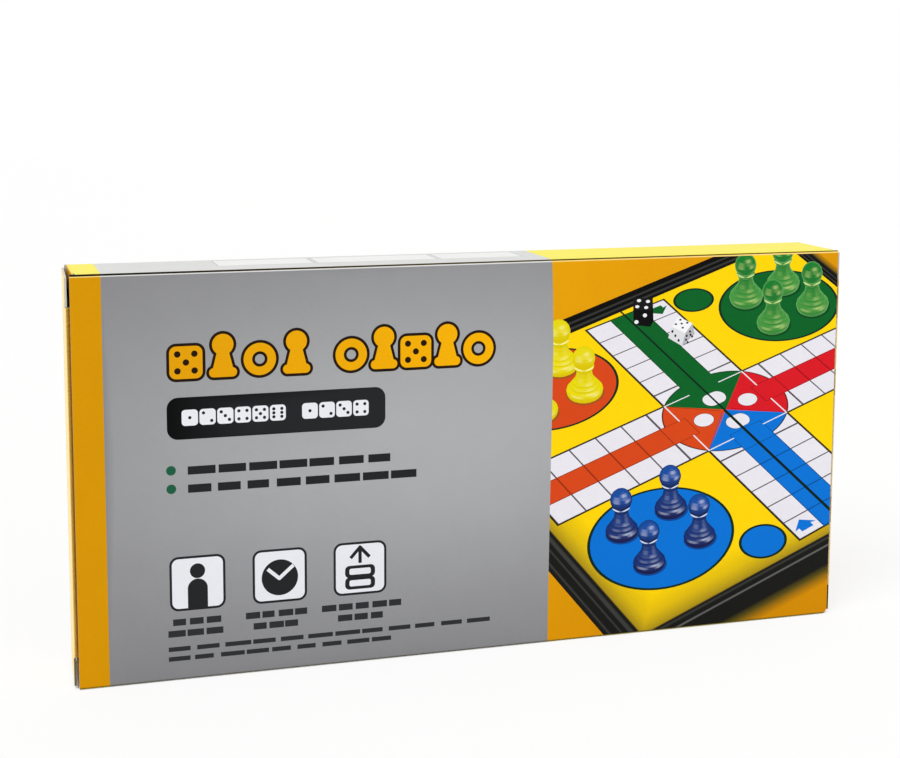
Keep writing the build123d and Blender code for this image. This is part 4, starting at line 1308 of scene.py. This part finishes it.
class CARTON_OT_creases(bpy.types.Operator):
    """Joins each flap to its panel by a strip of board bent round the crease"""

    bl_idname = "ludo_carton.creases"
    bl_label = "Creases"

    def execute(self, context):
        inks = plain(context.scene.carton_inks)
        for side, way in SIDES.items():
            flap, tongue = f"end_flap_{side}", f"tuck_tongue_{side}"
            # between the back panel and the end flap
            path = bend_path((FLAP_AXIS_X, FLAP_AXIS_Y), math.pi / 2, SPRING, 0.6, 0.05)
            path = [(way * x, y, 0) for x, y in path]
            # in the end flaps' pale yellow of painted sheen
            ends, tones = (FLAP_TRIM, HEIGHT - FLAP_TRIM), (inks.end_yellow, inks.end_yellow)
            crease(f"crease_{flap}", path, ends, (0, 0, 1), tones)
            # between the end flap and its tongue
            axis, last = sprung(FLAP_AXIS_X, TONGUE_AXIS_Y), SPRING - math.pi / 2 - TONGUE_LEAN
            path = bend_path(axis, SPRING, last, FLAP_EDGE_Y - TONGUE_AXIS_Y, 1.0)
            path = [(way * x, y, 0) for x, y in path]
            ends = (NECK_TRIM, HEIGHT - NECK_TRIM)
            # worn ink and painted highlight round the crease: cream, going to gold on the front at the
            # left-hand end
            tones = (inks.wear_and_highlight_cream, inks.wear_and_sheen_gold if side == "left" else inks.wear_and_highlight_cream)
            crease(f"crease_{tongue}", path, ends, (0, 0, 1), tones)
            # between the top or the base and its dust flap
            for name, (level, up) in LEVELS.items():
                path = bend_path((DUST_AXIS_X, 0), math.pi / 2, 0, DUST_AXIS_X - CAP_REACH, 0.3)
                path = [(way * x, 0, level + up * z) for x, z in path]
                # from the pale yellow of the top's painted sheen to the band
                dust, tones = f"dust_flap_{name}_{side}", (inks.cap_sheen_yellow, inks.band)
                crease(f"crease_{dust}", path, DUST_REACH_Y, (0, 1, 0), tones)
        return {"FINISHED"}


class CARTON_OT_case(bpy.types.Operator):
    """Finishes the folded case: moulded halves, pins and printed play sheets"""

    bl_idname = "ludo_carton.case"
    bl_label = "Folding case"

    def execute(self, context):
        for half in ("front", "back"):
            dress(f"case_half_{half}", "black_moulded_polystyrene")
            dress(f"play_sheet_{half}", "bare_tinplate")
        for side in SIDES:
            dress(f"hinge_pin_{side}", "zinc_plated_steel_wire")
        for half, way in (("front", -1), ("back", 1)):
            low, high = (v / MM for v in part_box(f"play_sheet_{half}"))
            scale, fold_z = (high.x - low.x) / (2 * SHEET_REACH), high.z + 1.5
            face_y = (low.y if way < 0 else high.y) + way * INK

            def half_sheet(a, b):
                # the fold runs along the top; the front half shows the green and orange quarters
                return b * scale * way, fold_z - (a + math.copysign(0.05, a)) * scale * way

            def on_sheet(x, z):
                return (x, face_y, z), (0, way, 0)

            inks, drawing = plain(context.scene.board_inks), Drawing(through=half_sheet)
            draw_ludo(drawing, inks)
            outline = rounded_box((low.x, low.z), (high.x, high.z), 2.0)
            shapes, name = [(outline, inks.sheet), *drawing.shapes], f"print_sheet_{half}"
            printed(name, outline, shapes, on_sheet, "carton", look="printed_tinplate")
        return {"FINISHED"}


PAWN_PROFILE = [  # radius and height, from the base's rim up
    (6.0, 0.0), (6.4, 0.15), (6.5, 0.5), (6.5, 1.8), (6.35, 2.2), (5.9, 2.4), (5.3, 2.5), (5.15, 3.0),
    (4.8, 3.4), (4.3, 4.4), (3.7, 6.0), (3.15, 8.0), (2.65, 10.4), (2.3, 12.6), (2.3, 12.9), (3.0, 13.2),
    (3.15, 13.55), (3.0, 13.9), (2.3, 14.15),
]
PAWN_HEAD, PAWN_HEAD_Z = 4.2, 17.637
PAWN_TOP = PAWN_HEAD_Z + PAWN_HEAD
POCKET, POCKET_DEPTH = 3.9, 1.8
PAWN_RIM, PAWN_RIM_Z = 6.5, 2.4
DIP = math.atan2(PAWN_RIM - PAWN_HEAD, PAWN_HEAD_Z - PAWN_RIM_Z)  # by which a lying pawn's head hangs
CHANNEL_FOOT_Z, CHANNEL_PITCH, PAWN_PITCH = 2.6, 30.125, 61.5


def turned_pawn():
    """A pawn as a smooth turned body with a square pocket in its base for the magnet."""
    sides, rings = 40, []
    for z in (POCKET_DEPTH, 0.0):
        square = [POCKET / max(abs(x), abs(y)) for x, y, _ in circle(1, 0, sides)]
        rings.append([(far * x, far * y, z) for far, (x, y, _) in zip(square, circle(1, 0, sides))])
    turns = np.linspace(math.asin(2.3 / PAWN_HEAD), math.pi - 0.12, 14)
    head = [(PAWN_HEAD * math.sin(t), PAWN_HEAD_Z - PAWN_HEAD * math.cos(t)) for t in turns]
    rings += [circle(r, z, sides) for r, z in PAWN_PROFILE + head]
    points, faces = lofted(rings)
    faces += [tuple(reversed(range(sides))), tuple(range(len(points) - sides, len(points)))]
    mesh = new_mesh("pawn", points, faces)
    for polygon in mesh.polygons:
        polygon.use_smooth = len(polygon.vertices) == 4 and polygon.index >= 2 * sides
    return mesh


class CARTON_OT_pawns(bpy.types.Operator):
    """Turns the sixteen pawns and sets them in the case's channels"""

    bl_idname = "ludo_carton.pawns"
    bl_label = "Pawns"

    def execute(self, context):
        dress("pawn_magnets", "ferrite_rubber")
        motif = turned_pawn()
        rise = (PAWN_RIM * math.cos(DIP) + PAWN_RIM_Z * math.sin(DIP)) * MM
        for number, dye in enumerate(("red", "green", "blue", "yellow")):
            low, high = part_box(f"pawns_{dye}")
            middle_y = (low.y + high.y) / 2
            rows = []
            for channel in range(4):
                for slot in range(4):
                    if (channel + slot) % 4 != number:
                        continue
                    outward = -1 if slot < 2 else 1
                    x = ((slot - 1.5) * PAWN_PITCH + outward * PAWN_TOP / 2) * MM
                    z = (CHANNEL_FOOT_Z + channel * CHANNEL_PITCH) * MM + rise
                    rows.append(((x, middle_y, z), (0, -outward * (math.pi / 2 + DIP), 0), (1, 1, 1)))
            look = f"{dye}_polystyrene"
            mesh = copies(f"turned_pawns_{dye}", motif.copy(), rows, look)
            spots = np.array([v.co for v in mesh.vertices])
            gap = max(abs(spots.min(0)[2] - low.z), abs(spots.max(0)[0] - high.x))
            if gap > 0.5 * MM:
                raise RuntimeError(f"the {dye} pawns are {gap / MM:.2f} mm off their places")
            made = piece(f"turned_pawns_{dye}", mesh, look, "carton")
            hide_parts(f"pawns_{dye}")
        return {"FINISHED"}


PIP_PITCH, PIP_DEPTH, PIP_SIDES = 2.4 * MM, 0.5 * MM, 8
PIP_RINGS = [(0.9, 0.2), (0.86, 0.08), (0.6, 0.0)]  # radius and height of its paint, from the rim in


class CARTON_OT_dice(bpy.types.Operator):
    """Finishes the two dice and paints their pips"""

    bl_idname = "ludo_carton.dice"
    bl_label = "Dice"

    def execute(self, context):
        for name in ("white", "black"):
            node = f"die_{name}"
            dress(node, f"{name}_urea")
            low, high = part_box(node)
            centre, half = (low + high) / 2, (high.x - low.x) / 2
            floors, data = {}, frame["nodes"][node].data
            for polygon in data.polygons:
                axis = max(range(3), key=lambda i: abs(polygon.normal[i]))
                offset = polygon.center[axis] - centre[axis]
                if abs(polygon.normal[axis]) < 0.99 or abs(half - abs(offset) - PIP_DEPTH) > 0.1 * MM:
                    continue
                for v in polygon.vertices:
                    spot = data.vertices[v].co - centre
                    place = [0 if i == axis else round(spot[i] / PIP_PITCH) for i in range(3)]
                    floors.setdefault((axis, math.copysign(1, offset), *place), []).append(spot[axis])
            if len(floors) != 21:
                raise RuntimeError(f"{node}: found {len(floors)} pips")
            rows = []
            for (axis, way, *place), levels in floors.items():
                spot, normal = Vector(place) * PIP_PITCH, Vector((0, 0, 0))
                spot[axis], normal[axis] = sum(levels) / len(levels), way
                turn = normal.to_track_quat("Z", "Y").to_euler()
                rows.append((centre + spot + normal * INK * MM, turn, (1, 1, 1)))
            paint = f"{name}_die_pip_paint"
            piece(f"pips_{name}", copies(f"pips_{name}", pip_dish(), rows, paint), paint, "carton")
        return {"FINISHED"}


def pip_dish():
    """A pip's paint: a shallow dish that fills the eight-sided recess."""
    points, faces = lofted([circle(*ring, PIP_SIDES) for ring in PIP_RINGS])
    return new_mesh("pip", points, [*faces, tuple(range(len(points) - PIP_SIDES, len(points)))])


class CARTON_OT_leaflet(bpy.types.Operator):
    """Gives the folded rules leaflet its paper"""

    bl_idname = "ludo_carton.leaflet"
    bl_label = "Leaflet"

    def execute(self, context):
        dress("instruction_leaflet", "offset_paper")
        return {"FINISHED"}


FLOOR_REACH, FLOOR_Z = 3.0, -0.06  # half its width in metres, and its height in millimetres
LAMP_ANGLE = math.radians(40)  # the broad lamp's size in the sky


class CARTON_OT_studio(bpy.types.Operator):
    """Sets the white room, its floor, the lamps and the camera"""

    bl_idname = "ludo_carton.studio"
    bl_label = "Studio"

    def execute(self, context):
        scene, studio = context.scene, context.scene.carton_studio
        scene.view_settings.view_transform = "Standard"
        world = bpy.data.worlds.new("white_room")
        scene.world = world
        world.use_nodes = True
        tree = world.node_tree
        tree.nodes.clear()
        # it is white wherever it is seen, also in a gloss, but lights the carton less
        rays = add_node(tree, "ShaderNodeLightPath").outputs
        white = rays["Is Camera Ray"]
        for kind in ("Is Glossy Ray", "Is Transmission Ray"):
            white = add_node(tree, "ShaderNodeMath", {0: white, 1: rays[kind]}, operation="MAXIMUM")
        strength = add_node(tree, "ShaderNodeMapRange", {0: white, 3: studio.room, 4: 1.0})
        room = add_node(tree, "ShaderNodeBackground", {"Color": (1, 1, 1, 1), "Strength": strength})
        add_node(tree, "ShaderNodeOutputWorld", {"Surface": room})

        made, tree, where = material("white_paper_roll")
        cloud = grain(tree, where, 40.0)
        colour = tint(tree, linear("#E2E2E1"), cloud, 0.01)
        paper = add_node(tree, "ShaderNodeBsdfDiffuse", {"Color": colour, "Roughness": 0.6})
        # seen by the camera it is nearly white by itself, and keeps a part of the carton's shadow
        glow = add_node(tree, "ShaderNodeEmission", {"Color": (1, 1, 1, 1), "Strength": 1.0})
        # close under the carton it stays dark
        near = add_node(tree, "ShaderNodeAmbientOcclusion", {"Distance": 8 * MM}, samples=16)
        clear = {0: near.outputs["AO"], 1: 0.34, 2: 0.5, 3: 0.0, 4: 0.75}
        open_floor = add_node(tree, "ShaderNodeMapRange", clear)
        camera_ray = add_node(tree, "ShaderNodeLightPath").outputs["Is Camera Ray"]
        share = add_node(tree, "ShaderNodeMath", {0: camera_ray, 1: open_floor}, operation="MULTIPLY")
        mixed = add_node(tree, "ShaderNodeMixShader", {0: share, 1: paper, 2: glow})
        add_node(tree, "ShaderNodeOutputMaterial", {"Surface": mixed})
        corners = [(x, y, FLOOR_Z * MM) for x, y in rounded_box((-FLOOR_REACH,) * 2, (FLOOR_REACH,) * 2)]
        floor = linked("floor", new_mesh("floor", corners, [(0, 1, 2, 3)]))
        floor.data.materials.append(made)

        data = bpy.data.lights.new("key", "SUN")
        data.energy, data.angle = studio.key, LAMP_ANGLE
        linked("key", data).rotation_euler = Vector(studio.key_turn).to_track_quat("Z", "Y").to_euler()

        data = bpy.data.cameras.new("camera")
        camera = linked("camera", data)
        a, e = studio.azimuth, studio.elevation
        back = Vector((math.sin(a) * math.cos(e), -math.cos(a) * math.cos(e), math.sin(e)))
        right = (-back).cross(Vector((0, 0, 1))).normalized()
        up = right.cross(-back)
        c, s = math.cos(studio.roll), math.sin(studio.roll)
        right, up = right * c + up * s, up * c - right * s
        camera.location = back * studio.distance + right * studio.slide + up * studio.rise
        camera.rotation_euler = Matrix((right, up, back)).transposed().to_euler()
        data.sensor_width = 36.0
        data.lens = studio.focal * data.sensor_width
        data.shift_y = studio.shift_y
        data.clip_start, data.clip_end = 0.01, 20.0
        scene.camera = camera
        return {"FINISHED"}


OPERATORS = (
    CARTON_OT_board, CARTON_OT_front_print, CARTON_OT_other_prints, CARTON_OT_end_prints, CARTON_OT_creases,
    CARTON_OT_case, CARTON_OT_pawns, CARTON_OT_dice, CARTON_OT_leaflet, CARTON_OT_studio,
)
GROUPS = {
    "carton_inks": CartonInks, "board_inks": BoardInks, "carton_sizes": CartonSizes, "carton_studio": Studio,
}


class CARTON_PT_steps(bpy.types.Panel):
    """Lists the steps that dress the carton, and their settings"""

    bl_idname = "CARTON_PT_steps"
    bl_label = "Ludo set carton"
    bl_space_type = "VIEW_3D"
    bl_region_type = "UI"
    bl_category = "Carton"

    def draw(self, context):
        for step in OPERATORS:
            self.layout.operator(step.bl_idname)
        for name, group in GROUPS.items():
            box = self.layout.box()
            settings = getattr(context.scene, name)
            for key in group.__annotations__:
                box.prop(settings, key)


def register():
    for cls in (*GROUPS.values(), *OPERATORS, CARTON_PT_steps):
        bpy.utils.register_class(cls)
    for name, group in GROUPS.items():
        setattr(bpy.types.Scene, name, PointerProperty(type=group))


def unregister():
    for name in GROUPS:
        delattr(bpy.types.Scene, name)
    for cls in reversed((*GROUPS.values(), *OPERATORS, CARTON_PT_steps)):
        bpy.utils.unregister_class(cls)


def main():
    register()
    for step in OPERATORS:
        category, name = step.bl_idname.split(".")
        getattr(getattr(bpy.ops, category), name)()


if __name__ == "__main__":
    main()
